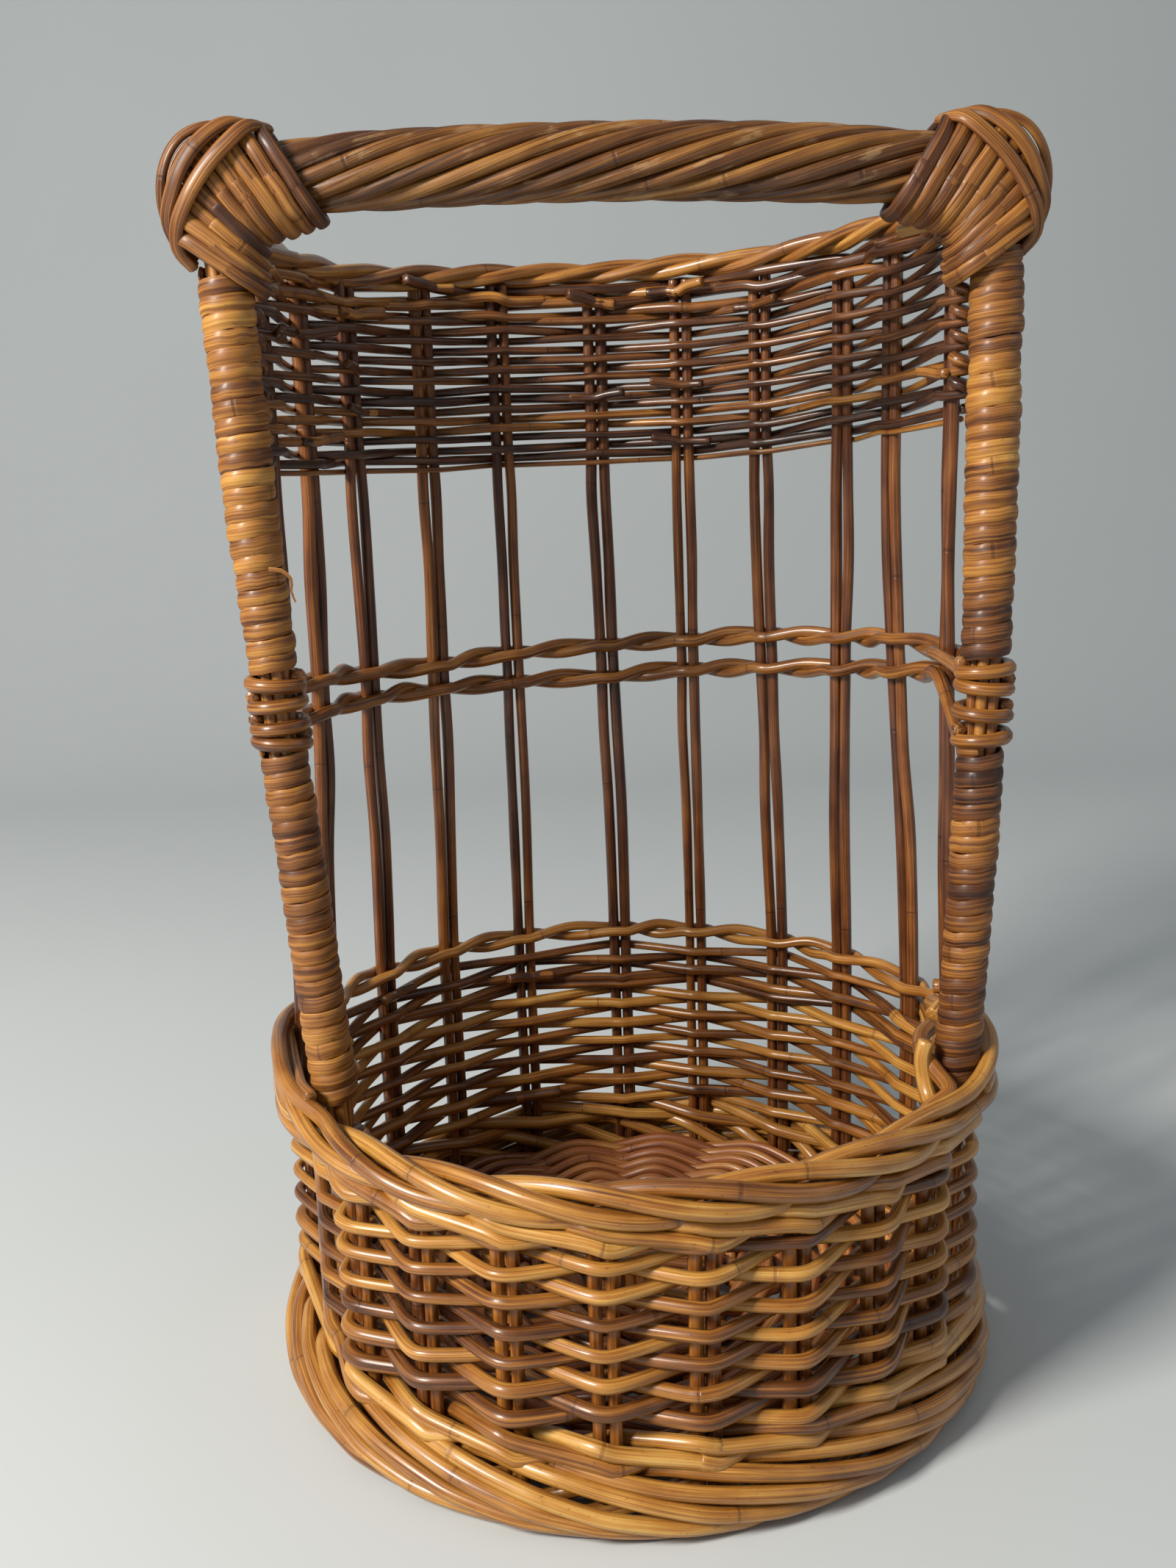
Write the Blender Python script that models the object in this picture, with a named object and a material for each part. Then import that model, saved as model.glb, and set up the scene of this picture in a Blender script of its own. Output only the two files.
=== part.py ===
"""A tall baguette basket: a round woven bowl, two bound posts, an open woven back and a twisted handle.

Metres, +Z up, the front of the basket towards -Y. The origin is on the floor, on the axis of the bowl.
Angles round the basket are in degrees from the front, growing towards +X.
"""
import math

import bmesh
import bpy
from mathutils import Euler, Vector

# Fits, and how finely round canes are drawn
CLEARANCE = 0.0003
OVERRUN = 0.05
WELD = 0.000005
PLAIN_ROD = 1
SLENDER_ROD = 0

# Upright stakes, each a long rod bent double, on one circle round the axis that gets smaller upwards
STAKE_CIRCLE = 0.1660
STAKE_TOP_CIRCLE = 0.1610
STAKE_RADIUS = 0.0032
FRONT_STAKES = 8
FRONT_STEP = 14.3
BACK_STAKES = 11
BACK_START = 90.0
BACK_STEP = 18.0

# The two front posts: thin inside the wall, thick above it, leaning out and back to the handle
POST_INSET = 0.0022
POST_ANGLE = 65.0
POST_FOOT_RADIUS = 0.0052
POST_RADIUS = 0.0081
POST_SHOULDER = 0.006
POST_LEAN_OUT = 0.0242
POST_LEAN_BACK = 0.0336
POST_TOP = 0.0050
POST_SIDES_RESOLUTION = 3

# Round base: two groups of sticks that pierce each other, and two weavers that chase each other out
BASE_STICK_RADIUS = 0.0025
BASE_WEAVER_RADIUS = 0.0034
BASE_GROUP = 4
BASE_STICK_PITCH = 0.0080
BASE_PIERCE_STEP = 0.0004
BASE_CROSS_HALF = 0.026
BASE_SPLAY_RADIUS = 0.050
BASE_FIRST_TURN = 0.055
BASE_TURN_GAP = 0.0014
BASE_CROWN = 0.006
BASE_FLOOR_GAP = 0.0006

# Foot: a rope of four rods under the stakes and outside them, worn flat where it stands
FOOT_ROD = 0.0044
FOOT_OUTSET = 0.0088
STAKE_SEAT = 0.0004
FOOT_STRANDS = 4
FOOT_TWISTS = 4
FOOT_WEAR_SHARE = 0.2

# Wall of the bowl: one weaver in a rising spiral, then rows that turn back at the posts
WALL_ROD = 0.0036
WALL_TURNS = 13
ROW_GAP = 0.0004
BACK_ROWS = 3
ROPE_GAP = 0.0007

# Front edge between the posts: a twined row, and a border roped from three thick rods over the stakes
WALE_ROD = 0.0034
BORDER_ROD = 0.0043
BORDER_STRANDS = 3
BORDER_TWISTS = 2.5
BORDER_OUTSET = 0.0062
BORDER_SINK = 0.0006
BORDER_END_GAP = 0.0132
RIM_ROD = 0.0030

# Two twined rails half way up the back, which end in loops round the posts
RAIL_ROD = 0.0026
RAIL_RISE = 0.1682
RAIL_SPACING = 0.0186
RAIL_LOOP_ANGLE = 270.0

# Woven band at the top of the back, and its border, which is a little below the handle
BAND_ROD = 0.0022
BAND_WEAVERS = 2
BAND_WEAVER_ROWS = 6
BAND_ROW_GAP = 0.0039
BAND_DROP = 0.0179
BAND_BORDER_ROD = 0.0032
BAND_BORDER_TAIL = 6.0
TWINE_RISE_SHARE = 1.12

# Flat cane bound round the posts
BINDING_THICKNESS = 0.0024
BINDING_GAP = 0.0006
BINDING_EDGE_SHARE = 0.62
LOWER_TURNS = 13
UPPER_TURNS = 16
LOOP_POINTS = 8

# Handle: a core with rods laid round it, bowed up a little
HANDLE_HEIGHT = 0.568
HANDLE_BOW = 0.007
HANDLE_RODS = 8
HANDLE_ROD = 0.0042
HANDLE_TURNS = 1.25

# Corner wraps where the handle sits on the posts
WRAP_ROD = 0.0049
WRAP_GAP = 0.0011
WRAP_LOOPS = 4
WRAP_POINTS = 10
WRAP_POST_LOOPS = 1.5


def at(radius, angle, height):
    """A point at an angle from the front, at a distance from the axis."""
    turned = math.radians(angle)
    return Vector((radius * math.sin(turned), -radius * math.cos(turned), height))


def start_scene():
    for obj in list(bpy.data.objects):
        bpy.data.objects.remove(obj)
    made = []
    for name in ("baguette_basket", "cutters"):
        collection = bpy.data.collections.new(name)
        bpy.context.scene.collection.children.link(collection)
        made.append(collection)
    return made


BASKET, CUTTERS = start_scene()


def cane_material(name, colour, roughness):
    material = bpy.data.materials.new(name)
    material.use_nodes = True
    shader = material.node_tree.nodes["Principled BSDF"]
    shader.inputs["Base Color"].default_value = (*colour, 1.0)
    shader.inputs["Roughness"].default_value = roughness
    shader.inputs["Metallic"].default_value = 0.0
    return material


STAKE_CANE = cane_material("stake_cane", (0.34, 0.17, 0.06), 0.45)
WEAVER_CANE = cane_material("weaver_cane", (0.46, 0.25, 0.09), 0.42)
BORDER_CANE = cane_material("border_cane", (0.50, 0.28, 0.11), 0.40)
BINDING_CANE = cane_material("binding_cane", (0.53, 0.30, 0.11), 0.38)
HANDLE_CANE = cane_material("handle_cane", (0.38, 0.20, 0.08), 0.42)


def rod(name, points, radius, material, resolution=PLAIN_ROD, radii=None, section=None):
    """A cane that follows the points. Radii taper it, and a section makes it flat cane."""
    curve = bpy.data.curves.new(name, "CURVE")
    curve.dimensions = "3D"
    curve.use_fill_caps = True
    if section:
        curve.twist_mode = "Z_UP"
        curve.bevel_mode = "OBJECT"
        curve.bevel_object = section
    else:
        curve.bevel_depth = radius
        curve.bevel_resolution = resolution
    spline = curve.splines.new("POLY")
    spline.points.add(len(points) - 1)
    for number, point in enumerate(points):
        spline.points[number].co = (*point, 1.0)
        if radii:
            spline.points[number].radius = radii[number] / radius
    curve.materials.append(material)
    obj = bpy.data.objects.new(name, curve)
    BASKET.objects.link(obj)
    return obj


def evaluated_mesh(obj):
    graph = bpy.context.evaluated_depsgraph_get()
    return bpy.data.meshes.new_from_object(obj.evaluated_get(graph))


def as_mesh(obj, collection):
    """The curve object as a welded mesh object of the same name, ready for a Boolean."""
    name = obj.name
    mesh = evaluated_mesh(obj)
    place = obj.matrix_world.copy()
    bpy.data.objects.remove(obj)
    welded = bmesh.new()
    welded.from_mesh(mesh)
    bmesh.ops.remove_doubles(welded, verts=welded.verts, dist=WELD)
    bmesh.ops.recalc_face_normals(welded, faces=welded.faces)
    welded.to_mesh(mesh)
    welded.free()
    made = bpy.data.objects.new(name, mesh)
    made.matrix_world = place
    collection.objects.link(made)
    return made


def boolean(target, tool, operation):
    modifier = target.modifiers.new(operation.lower(), "BOOLEAN")
    modifier.operation = operation
    modifier.object = tool
    modifier.solver = "EXACT"
    tool.hide_render = True
    tool.display_type = "WIRE"


def box_cutter(name, low, high):
    """A box between two corners, kept with the cutters."""
    shape = bmesh.new()
    bmesh.ops.create_cube(shape, size=1.0)
    for vertex in shape.verts:
        vertex.co = [(a + b) / 2 + v * (b - a) for a, b, v in zip(low, high, vertex.co)]
    mesh = bpy.data.meshes.new(name)
    shape.to_mesh(mesh)
    shape.free()
    obj = bpy.data.objects.new(name, mesh)
    obj.hide_render = True
    obj.display_type = "WIRE"
    CUTTERS.objects.link(obj)
    return obj


# How weavers pass what they are woven round
STAKE_OFFSET = STAKE_RADIUS + CLEARANCE / 2


def passing(spacing, rod_radius, half=STAKE_RADIUS, spread=STAKE_OFFSET, bend=0.0):
    """How far a weaver's line stays from the middle of an upright, when it slants from one to the next.

    The bend is the slope that the circle's own curve adds outside the uprights and takes away inside.
    """
    reach = half + rod_radius + CLEARANCE
    offset = reach
    for _ in range(6):
        slope = max(0.0, 2 * offset / spacing + bend)
        offset = reach * math.hypot(1, slope) + slope * spread
    return offset


def sway(side, angle_step, circle, rod_radius, half=STAKE_RADIUS, spread=STAKE_OFFSET):
    """The signed distance of a weaver's line from the middle of an upright, on its outside or inside."""
    step = math.radians(angle_step)
    return side * passing(step * circle, rod_radius, half, spread, side * math.tan(step / 2))


def rope_radius(count, rod_radius, pitch=None):
    """Distance of each rod of a rope from the rope's middle, so that neighbours just clear each other."""
    radius = (rod_radius + ROPE_GAP / 2) / math.sin(math.pi / count)
    if pitch:
        for _ in range(4):
            slant = math.hypot(1, 2 * math.pi * radius / pitch)
            radius = (rod_radius + ROPE_GAP / 2) * slant / math.sin(math.pi / count)
    return radius


def stake_angles():
    """Angles of the front stakes, from left to right, and of the back stakes, from right to left."""
    front = [FRONT_STEP * (number - (FRONT_STAKES - 1) / 2) for number in range(FRONT_STAKES)]
    back = [BACK_START + BACK_STEP * number for number in range(BACK_STAKES)]
    return front, back


FRONT, BACK = stake_angles()

# Levels, worked out from the floor up
FOOT_CIRCLE = STAKE_CIRCLE + FOOT_OUTSET
FOOT_TWIST_LENGTH = 2 * math.pi * FOOT_CIRCLE / FOOT_TWISTS
FOOT_SPREAD = rope_radius(FOOT_STRANDS, FOOT_ROD, FOOT_TWIST_LENGTH)
FOOT_LEVEL = FOOT_SPREAD + FOOT_ROD * (1 - FOOT_WEAR_SHARE)
FOOT_TOP = FOOT_LEVEL + FOOT_SPREAD + FOOT_ROD
FOOT_REACH = FOOT_SPREAD + FOOT_ROD + STAKE_RADIUS - STAKE_SEAT
STAKE_FOOT = FOOT_LEVEL + math.sqrt(FOOT_REACH ** 2 - FOOT_OUTSET ** 2)
BASE_SPOKES = 4 * BASE_GROUP
BASE_EDGE = FOOT_CIRCLE - FOOT_SPREAD - FOOT_ROD - 2 * CLEARANCE
BASE_LAST_TURN = BASE_EDGE - BASE_WEAVER_RADIUS
BASE_SPREAD = passing(2 * math.pi * BASE_LAST_TURN / BASE_SPOKES, BASE_WEAVER_RADIUS, BASE_STICK_RADIUS, 0)
BASE_LEVEL = BASE_FLOOR_GAP + BASE_SPREAD + BASE_WEAVER_RADIUS
BASE_TOP = BASE_LEVEL + BASE_SPREAD + BASE_WEAVER_RADIUS
WALL_START = max(FOOT_TOP, BASE_TOP) + CLEARANCE + WALL_ROD
WALL_PITCH = 2 * WALL_ROD + ROW_GAP
WALL_TOP = WALL_START + WALL_TURNS * WALL_PITCH + WALL_ROD
WALE_RISE = (WALE_ROD + CLEARANCE) * TWINE_RISE_SHARE
WALE_LEVEL = WALL_TOP + CLEARANCE + WALE_RISE + WALE_ROD
STAKE_END_FRONT = WALE_LEVEL + WALE_RISE + WALE_ROD
BORDER_LENGTH = 2 * math.radians(POST_ANGLE) * (STAKE_TOP_CIRCLE + BORDER_OUTSET)
BORDER_SPREAD = rope_radius(BORDER_STRANDS, BORDER_ROD, BORDER_LENGTH / BORDER_TWISTS)
BORDER_LEVEL = STAKE_END_FRONT + CLEARANCE - BORDER_SINK + BORDER_SPREAD + BORDER_ROD
BACK_ROWS_START = WALL_TOP + ROW_GAP + WALL_ROD
BACK_ROWS_END = BACK_ROWS_START + (BACK_ROWS - 1) * WALL_PITCH
RIM_RISE = (RIM_ROD + CLEARANCE) * TWINE_RISE_SHARE
RIM_LEVEL = BACK_ROWS_END + WALL_ROD + CLEARANCE + RIM_RISE + RIM_ROD
RIM_TOP = RIM_LEVEL + RIM_RISE + RIM_ROD
SHOULDER = max(RIM_TOP, BORDER_LEVEL + BORDER_SPREAD + BORDER_ROD) + CLEARANCE
POST_FOOT = max(BASE_TOP, FOOT_TOP) + CLEARANCE
POST_SLOPE_OUT = POST_LEAN_OUT / (HANDLE_HEIGHT - SHOULDER)
POST_SLOPE_BACK = POST_LEAN_BACK / (HANDLE_HEIGHT - SHOULDER)


def stake_circle(height):
    """Distance of the stakes from the axis at a height."""
    return STAKE_CIRCLE + (STAKE_TOP_CIRCLE - STAKE_CIRCLE) * height / HANDLE_HEIGHT


def post_axis(side, height):
    """The middle of a post at a height. Side is 1 on the right and -1 on the left."""
    share = max(0.0, (height - SHOULDER) / (HANDLE_HEIGHT - SHOULDER))
    foot = at(stake_circle(min(height, SHOULDER)) - POST_INSET, side * POST_ANGLE, height)
    return foot + Vector((side * POST_LEAN_OUT * share, POST_LEAN_BACK * share, 0))


def make_posts():
    for side, word in ((-1, "left"), (1, "right")):
        heights = [POST_FOOT, SHOULDER, SHOULDER + POST_SHOULDER, HANDLE_HEIGHT + POST_TOP]
        radii = [POST_FOOT_RADIUS, POST_FOOT_RADIUS, POST_RADIUS, POST_RADIUS]
        points = [post_axis(side, height) for height in heights]
        rod("post_" + word, points, POST_RADIUS, STAKE_CANE, POST_SIDES_RESOLUTION, radii)


# Base
def base_height(radius):
    return BASE_LEVEL + BASE_CROWN * (1 - (radius / BASE_EDGE) ** 2)


def make_base_sticks():
    """Two groups of sticks cross at the middle, one through the other, and then fan out to even angles."""
    sticks = []
    for group in range(2):
        for number in range(BASE_GROUP):
            place = number - (BASE_GROUP - 1) / 2
            spoke = 360 / BASE_SPOKES * place
            points = []
            for end in (1, -1):
                outward = []
                for radius in (BASE_EDGE, (BASE_EDGE + BASE_SPLAY_RADIUS) / 2, BASE_SPLAY_RADIUS):
                    spot = at(radius, spoke * end + 90 * group + (0 if end == 1 else 180), 0)
                    spot.z = base_height(radius)
                    outward.append(spot)
                inner = Vector((place * BASE_STICK_PITCH, -end * BASE_CROSS_HALF, 0))
                inner.rotate(Euler((0, 0, math.radians(90 * group))))
                inner.z = base_height(0) + (BASE_PIERCE_STEP if group else 0)
                outward.append(inner)
                points += outward if end == 1 else outward[::-1]
            name = f"base_stick_{group}_{number}"
            sticks.append(rod(name, points, BASE_STICK_RADIUS, STAKE_CANE, SLENDER_ROD))
    body = as_mesh(sticks[0], BASKET)
    body.name = "base_sticks"
    for other in sticks[1:]:
        boolean(body, as_mesh(other, CUTTERS), "UNION")


def make_base_weavers():
    """Each weaver goes over the sticks that the other goes under, so an even count of spokes works."""
    turn_pitch = 2 * (2 * BASE_WEAVER_RADIUS + BASE_TURN_GAP)
    turns = (BASE_LAST_TURN - BASE_FIRST_TURN - turn_pitch / 2) / turn_pitch
    steps = int(turns * BASE_SPOKES)
    for weaver in range(2):
        points = []
        for step in range(steps + 1):
            inward = (steps - step) / BASE_SPOKES * turn_pitch + weaver * turn_pitch / 2
            radius = BASE_LAST_TURN - inward
            spacing = 2 * math.pi * radius / BASE_SPOKES
            side = 1 if (step + weaver) % 2 else -1
            offset = passing(spacing, BASE_WEAVER_RADIUS, BASE_STICK_RADIUS, 0)
            angle = 360 / BASE_SPOKES * (step + 1 / 2)
            points.append(at(radius, angle, base_height(radius) + side * offset))
        rod(f"base_weaver_{weaver + 1}", points, BASE_WEAVER_RADIUS, WEAVER_CANE, SLENDER_ROD)


def make_foot():
    """Four rods roped round the bottom, each cut flat where it touches the floor."""
    floor = box_cutter("floor_cut", (-OVERRUN - FOOT_CIRCLE * 2,) * 2 + (-OVERRUN,),
                       (OVERRUN + FOOT_CIRCLE * 2,) * 2 + (0,))
    steps = FOOT_TWISTS * LOOP_POINTS
    gap_steps = 1 / 4
    for strand in range(FOOT_STRANDS):
        start = strand * steps / FOOT_STRANDS
        points = []
        for step in range(steps + 1):
            place = start + min(max(step, gap_steps), steps - gap_steps)
            phase = 360 * (place + 1) / LOOP_POINTS + 360 * strand / FOOT_STRANDS
            reach = FOOT_SPREAD * math.cos(math.radians(phase))
            rise = FOOT_SPREAD * math.sin(math.radians(phase))
            points.append(at(FOOT_CIRCLE + reach, 360 * place / steps, FOOT_LEVEL - rise))
        strand_body = as_mesh(rod(f"foot_strand_{strand + 1}", points, FOOT_ROD, BORDER_CANE), BASKET)
        boolean(strand_body, floor, "DIFFERENCE")


# Stakes
def make_stake(name, angle, top):
    """A long rod bent double at the foot, so that its two legs stand side by side."""
    across = at(1, angle + 90, 0)
    legs = []
    for side in (-1, 1):
        legs.append([at(stake_circle(height), angle, height) + across * side * STAKE_OFFSET
                     for height in (top, STAKE_FOOT)])
    rod(name, legs[0] + legs[1][::-1], STAKE_RADIUS, STAKE_CANE)


def make_stakes():
    for number, angle in enumerate(FRONT):
        make_stake(f"front_stake_{number + 1}", angle, STAKE_END_FRONT)
    for number, angle in enumerate(BACK):
        make_stake(f"back_stake_{number + 1}", angle, BAND_BORDER_LEVEL + BAND_BORDER_RISE)


# Wall of the bowl
def wall_uprights():
    """Angle, inset, half thickness and half spread of every upright that the wall is woven round."""
    uprights = [(angle % 360, 0, STAKE_RADIUS, STAKE_OFFSET) for angle in FRONT + BACK]
    uprights += [(side * POST_ANGLE % 360, POST_INSET, POST_FOOT_RADIUS, 0) for side in (-1, 1)]
    uprights.sort()
    return uprights


def make_wall():
    """One weaver, behind one upright and before the next. The odd count makes the next turn alternate."""
    uprights = wall_uprights()
    count = len(uprights)
    half = count // 2
    uprights = uprights[half:] + [(angle + 360, *rest) for angle, *rest in uprights[:half]]
    first, last = uprights[0][0], uprights[0][0] + 360
    points = []
    for step in range(WALL_TURNS * count + 1):
        angle, inset, thick, spread = uprights[step % count]
        before = uprights[(step - 1) % count][0]
        after = uprights[(step + 1) % count][0]
        nearest = min((angle - before) % 360, (after - angle) % 360)
        risen = (angle - first) / (last - first) + step // count
        height = WALL_START + WALL_PITCH * risen
        circle = stake_circle(height) - inset
        offset = sway(1 if step % 2 else -1, nearest, circle, WALL_ROD, thick, spread)
        points.append(at(circle + offset, angle, height))
    rod("wall_weaver", points, WALL_ROD, WEAVER_CANE)


def turn_round_post(side, level, next_level, from_outside, reach, behind=False):
    """Points from one side of a post to its other side, round its front or behind it."""
    share = reach / math.cos(math.radians(180 / LOOP_POINTS))
    steps = LOOP_POINTS // 4 if behind else LOOP_POINTS * 3 // 4
    way = -1 if behind else 1
    points = []
    for step in range(steps + 1):
        height = level + (next_level - level) * step / steps
        centre = post_axis(side, height)
        outward = Vector((centre.x, centre.y, 0)).normalized()
        forward = Vector((-outward.y, outward.x, 0)) * -side
        if forward.y > 0:
            forward = -forward
        swing = math.radians(360 / LOOP_POINTS * (way * step - 1))
        sign = 1 if from_outside else -1
        points.append(centre + outward * sign * share * math.cos(swing) + forward * share * math.sin(swing))
    return points


def zigzag(first_level, rows, pitch, rod_radius, post_reach, highest_turn, behind=False):
    """Rows through the back stakes that turn back round the posts or behind them, as one line of points."""
    def turn(post, level, next_level, from_outside):
        level, next_level = min(level, highest_turn), min(next_level, highest_turn)
        return turn_round_post(post, level, next_level, from_outside, post_reach, behind)

    points = []
    for row in range(rows):
        level = first_level + pitch * row
        circle = stake_circle(level)
        order = BACK if row % 2 == 0 else BACK[::-1]
        outside = 1 if row % 2 == 0 else -1
        for number, angle in enumerate(order):
            side = outside if number % 2 == 0 else -outside
            points.append(at(circle + sway(side, BACK_STEP, circle, rod_radius), angle, level))
        if row < rows - 1:
            post = -1 if row % 2 == 0 else 1
            points += turn(post, level, level + pitch, outside == 1)
    first_turn = turn(1, first_level - pitch, first_level, False)
    last_level = first_level + pitch * (rows - 1)
    last_turn = turn(-1 if rows % 2 else 1, last_level, last_level, rows % 2 == 1)
    ends = 1 if behind else 2
    return [Vector((p.x, p.y, first_level)) for p in first_turn[-ends:]] + points + last_turn[:ends]


def make_back_rows():
    reach = POST_FOOT_RADIUS + CLEARANCE + WALL_ROD
    points = zigzag(BACK_ROWS_START, BACK_ROWS, WALL_PITCH, WALL_ROD, reach, RIM_LEVEL)
    rod("back_wall_weaver", points, WALL_ROD, WEAVER_CANE)


def twined(angles, level, rise, rod_radius):
    """Two lines of points that swap sides at every stake, and pass over each other between them."""
    circle = stake_circle(level)
    lines = []
    for strand in (1, -1):
        points = []
        for number, angle in enumerate(angles):
            side = strand if number % 2 == 0 else -strand
            points.append(at(circle + sway(side, angles[1] - angles[0], circle, rod_radius), angle, level))
            if number < len(angles) - 1:
                between = (angle + angles[number + 1]) / 2
                points.append(at(circle, between, level + side * rise))
        lines.append(points)
    return lines


def make_front_edge():
    """A twined row that ends beside the posts, and three thick rods roped over the tops of the stakes."""
    lines = twined(FRONT, WALE_LEVEL, WALE_RISE, WALE_ROD)
    for number, line in enumerate(lines):
        sign = 1 if number == 0 else -1
        circle = stake_circle(WALE_LEVEL)
        before = at(circle, FRONT[0] - FRONT_STEP / 2, WALE_LEVEL + sign * WALE_RISE)
        after = at(circle, FRONT[-1] + FRONT_STEP / 2, WALE_LEVEL - sign * WALE_RISE)
        rod(f"front_wale_{number + 1}", [before] + line + [after], WALE_ROD, WEAVER_CANE)
    circle = stake_circle(BORDER_LEVEL) + BORDER_OUTSET
    reach = POST_ANGLE - math.degrees(BORDER_END_GAP / circle)
    steps = int(BORDER_TWISTS * LOOP_POINTS)
    for strand in range(BORDER_STRANDS):
        points = []
        for step in range(steps + 1):
            phase = math.radians(360 * step / LOOP_POINTS + 360 * strand / BORDER_STRANDS)
            angle = reach * (2 * step / steps - 1)
            points.append(at(circle + BORDER_SPREAD * math.cos(phase), angle,
                             BORDER_LEVEL - BORDER_SPREAD * math.sin(phase)))
        rod(f"front_border_{strand + 1}", points, BORDER_ROD, BORDER_CANE)


def make_back_rim():
    """The plain rim round the back: a twined row whose ends lie against the posts."""
    reach = (POST_FOOT_RADIUS + CLEARANCE + RIM_ROD) / math.cos(math.radians(180 / LOOP_POINTS))
    lines = twined(BACK, RIM_LEVEL, RIM_RISE, RIM_ROD)
    for number, line in enumerate(lines):
        sign = 1 if number == 0 else -1
        ends = []
        for post in (1, -1):
            centre = post_axis(post, RIM_LEVEL)
            outward = Vector((centre.x, centre.y, 0)).normalized()
            ends.append(centre + outward * sign * reach)
        rod(f"back_rim_{number + 1}", [ends[0]] + line + [ends[1]], RIM_ROD, BORDER_CANE)


# Rails
RAIL_RISE_EACH = (RAIL_ROD + CLEARANCE) * TWINE_RISE_SHARE
RAIL_LOOP_PITCH = 2 * RAIL_ROD + BINDING_GAP + ROW_GAP
RAIL_MIDDLE = SHOULDER + RAIL_RISE
RAIL_LOOPS_HALF = 2 * RAIL_LOOP_PITCH


def make_rails():
    """Two twined rows across the back stakes. Each of the four strands loops once round each post."""
    reach = POST_RADIUS + CLEARANCE + RAIL_ROD
    share = reach / math.cos(math.radians(180 / LOOP_POINTS))
    loop_steps = int(LOOP_POINTS * RAIL_LOOP_ANGLE / 360)
    for rail, word in ((1, "upper"), (-1, "lower")):
        level = RAIL_MIDDLE + rail * RAIL_SPACING / 2
        lines = twined(BACK, level, RAIL_RISE_EACH, RAIL_ROD)
        for number, line in enumerate(lines):
            sign = 1 if number == 0 else -1
            place = rail + sign / 2
            loops = []
            for post in (1, -1):
                height = RAIL_MIDDLE + place * RAIL_LOOP_PITCH
                centre = post_axis(post, height)
                outward = Vector((centre.x, centre.y, 0)).normalized()
                forward = Vector((outward.y, -outward.x, 0)) * post
                if forward.y > 0:
                    forward = -forward
                loop = []
                for step in range(loop_steps + 1):
                    swing = math.radians(360 / LOOP_POINTS * (step - 1))
                    loop.append(centre + outward * sign * share * math.cos(swing)
                                + forward * share * math.sin(swing))
                loops.append(loop)
            points = loops[0][::-1] + line + loops[1]
            rod(f"{word}_rail_{number + 1}", points, RAIL_ROD, WEAVER_CANE, SLENDER_ROD)


# The coil of the corner wraps
WRAP_REACH = (POST_RADIUS + WRAP_GAP) / math.cos(math.radians(180 / WRAP_POINTS)) + WRAP_ROD
WRAP_INSIDE = WRAP_LOOPS * (2 * WRAP_ROD + WRAP_GAP)
WRAP_ON_POST = WRAP_INSIDE * WRAP_POST_LOOPS / WRAP_LOOPS
WRAP_BOTTOM = HANDLE_HEIGHT - WRAP_REACH - WRAP_ON_POST

# Bindings fill the lengths of the posts between the shoulder, the rails' loops and the corner wraps
LOWER_BINDING = (SHOULDER + POST_SHOULDER + CLEARANCE, RAIL_MIDDLE - RAIL_LOOPS_HALF - CLEARANCE)
UPPER_BINDING = (RAIL_MIDDLE + RAIL_LOOPS_HALF + CLEARANCE, WRAP_BOTTOM - WRAP_ROD - CLEARANCE)


def binding_width(ends, turns):
    return (ends[1] - ends[0]) / (turns + 1) - BINDING_GAP


def binding_reach(width):
    """Distance of the cane's middle from the post's axis. The post leans, and the cane stands upright."""
    lean = math.hypot(POST_SLOPE_OUT, POST_SLOPE_BACK) * width / 2
    flat = math.cos(math.radians(180 / LOOP_POINTS))
    return (POST_RADIUS + CLEARANCE + lean) / flat + BINDING_THICKNESS / 2


# Band
BOUND_RADIUS = binding_reach(binding_width(UPPER_BINDING, UPPER_TURNS)) + BINDING_THICKNESS / 2
BAND_BORDER_LEVEL = HANDLE_HEIGHT - BAND_DROP
BAND_BORDER_RISE = (BAND_BORDER_ROD + CLEARANCE) * TWINE_RISE_SHARE
BAND_END = BAND_BORDER_LEVEL - BAND_BORDER_ROD - BAND_BORDER_RISE - CLEARANCE - BAND_ROD
BAND_PITCH = 2 * BAND_ROD + BAND_ROW_GAP
BAND_START = BAND_END - (BAND_WEAVERS * BAND_WEAVER_ROWS - 1) * BAND_PITCH


def make_band():
    reach = BOUND_RADIUS + CLEARANCE + BAND_ROD
    highest = UPPER_BINDING[1] - BAND_ROD
    for number in range(BAND_WEAVERS):
        start = BAND_START + number * BAND_WEAVER_ROWS * BAND_PITCH
        points = zigzag(start, BAND_WEAVER_ROWS, BAND_PITCH, BAND_ROD, reach, highest, True)
        rod(f"band_weaver_{number + 1}", points, BAND_ROD, WEAVER_CANE, SLENDER_ROD)
    lines = twined(BACK, BAND_BORDER_LEVEL, BAND_BORDER_RISE, BAND_BORDER_ROD)
    for number, line in enumerate(lines):
        sign = 1 if number == 0 else -1
        circle = stake_circle(BAND_BORDER_LEVEL)
        circle += sway(sign, BACK_STEP, circle, BAND_BORDER_ROD)
        ends = [at(circle, angle, BAND_BORDER_LEVEL) for angle in
                (BACK[0] - BAND_BORDER_TAIL, BACK[-1] + BAND_BORDER_TAIL)]
        rod(f"band_border_{number + 1}", [ends[0]] + line + [ends[1]], BAND_BORDER_ROD, BORDER_CANE)


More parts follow.
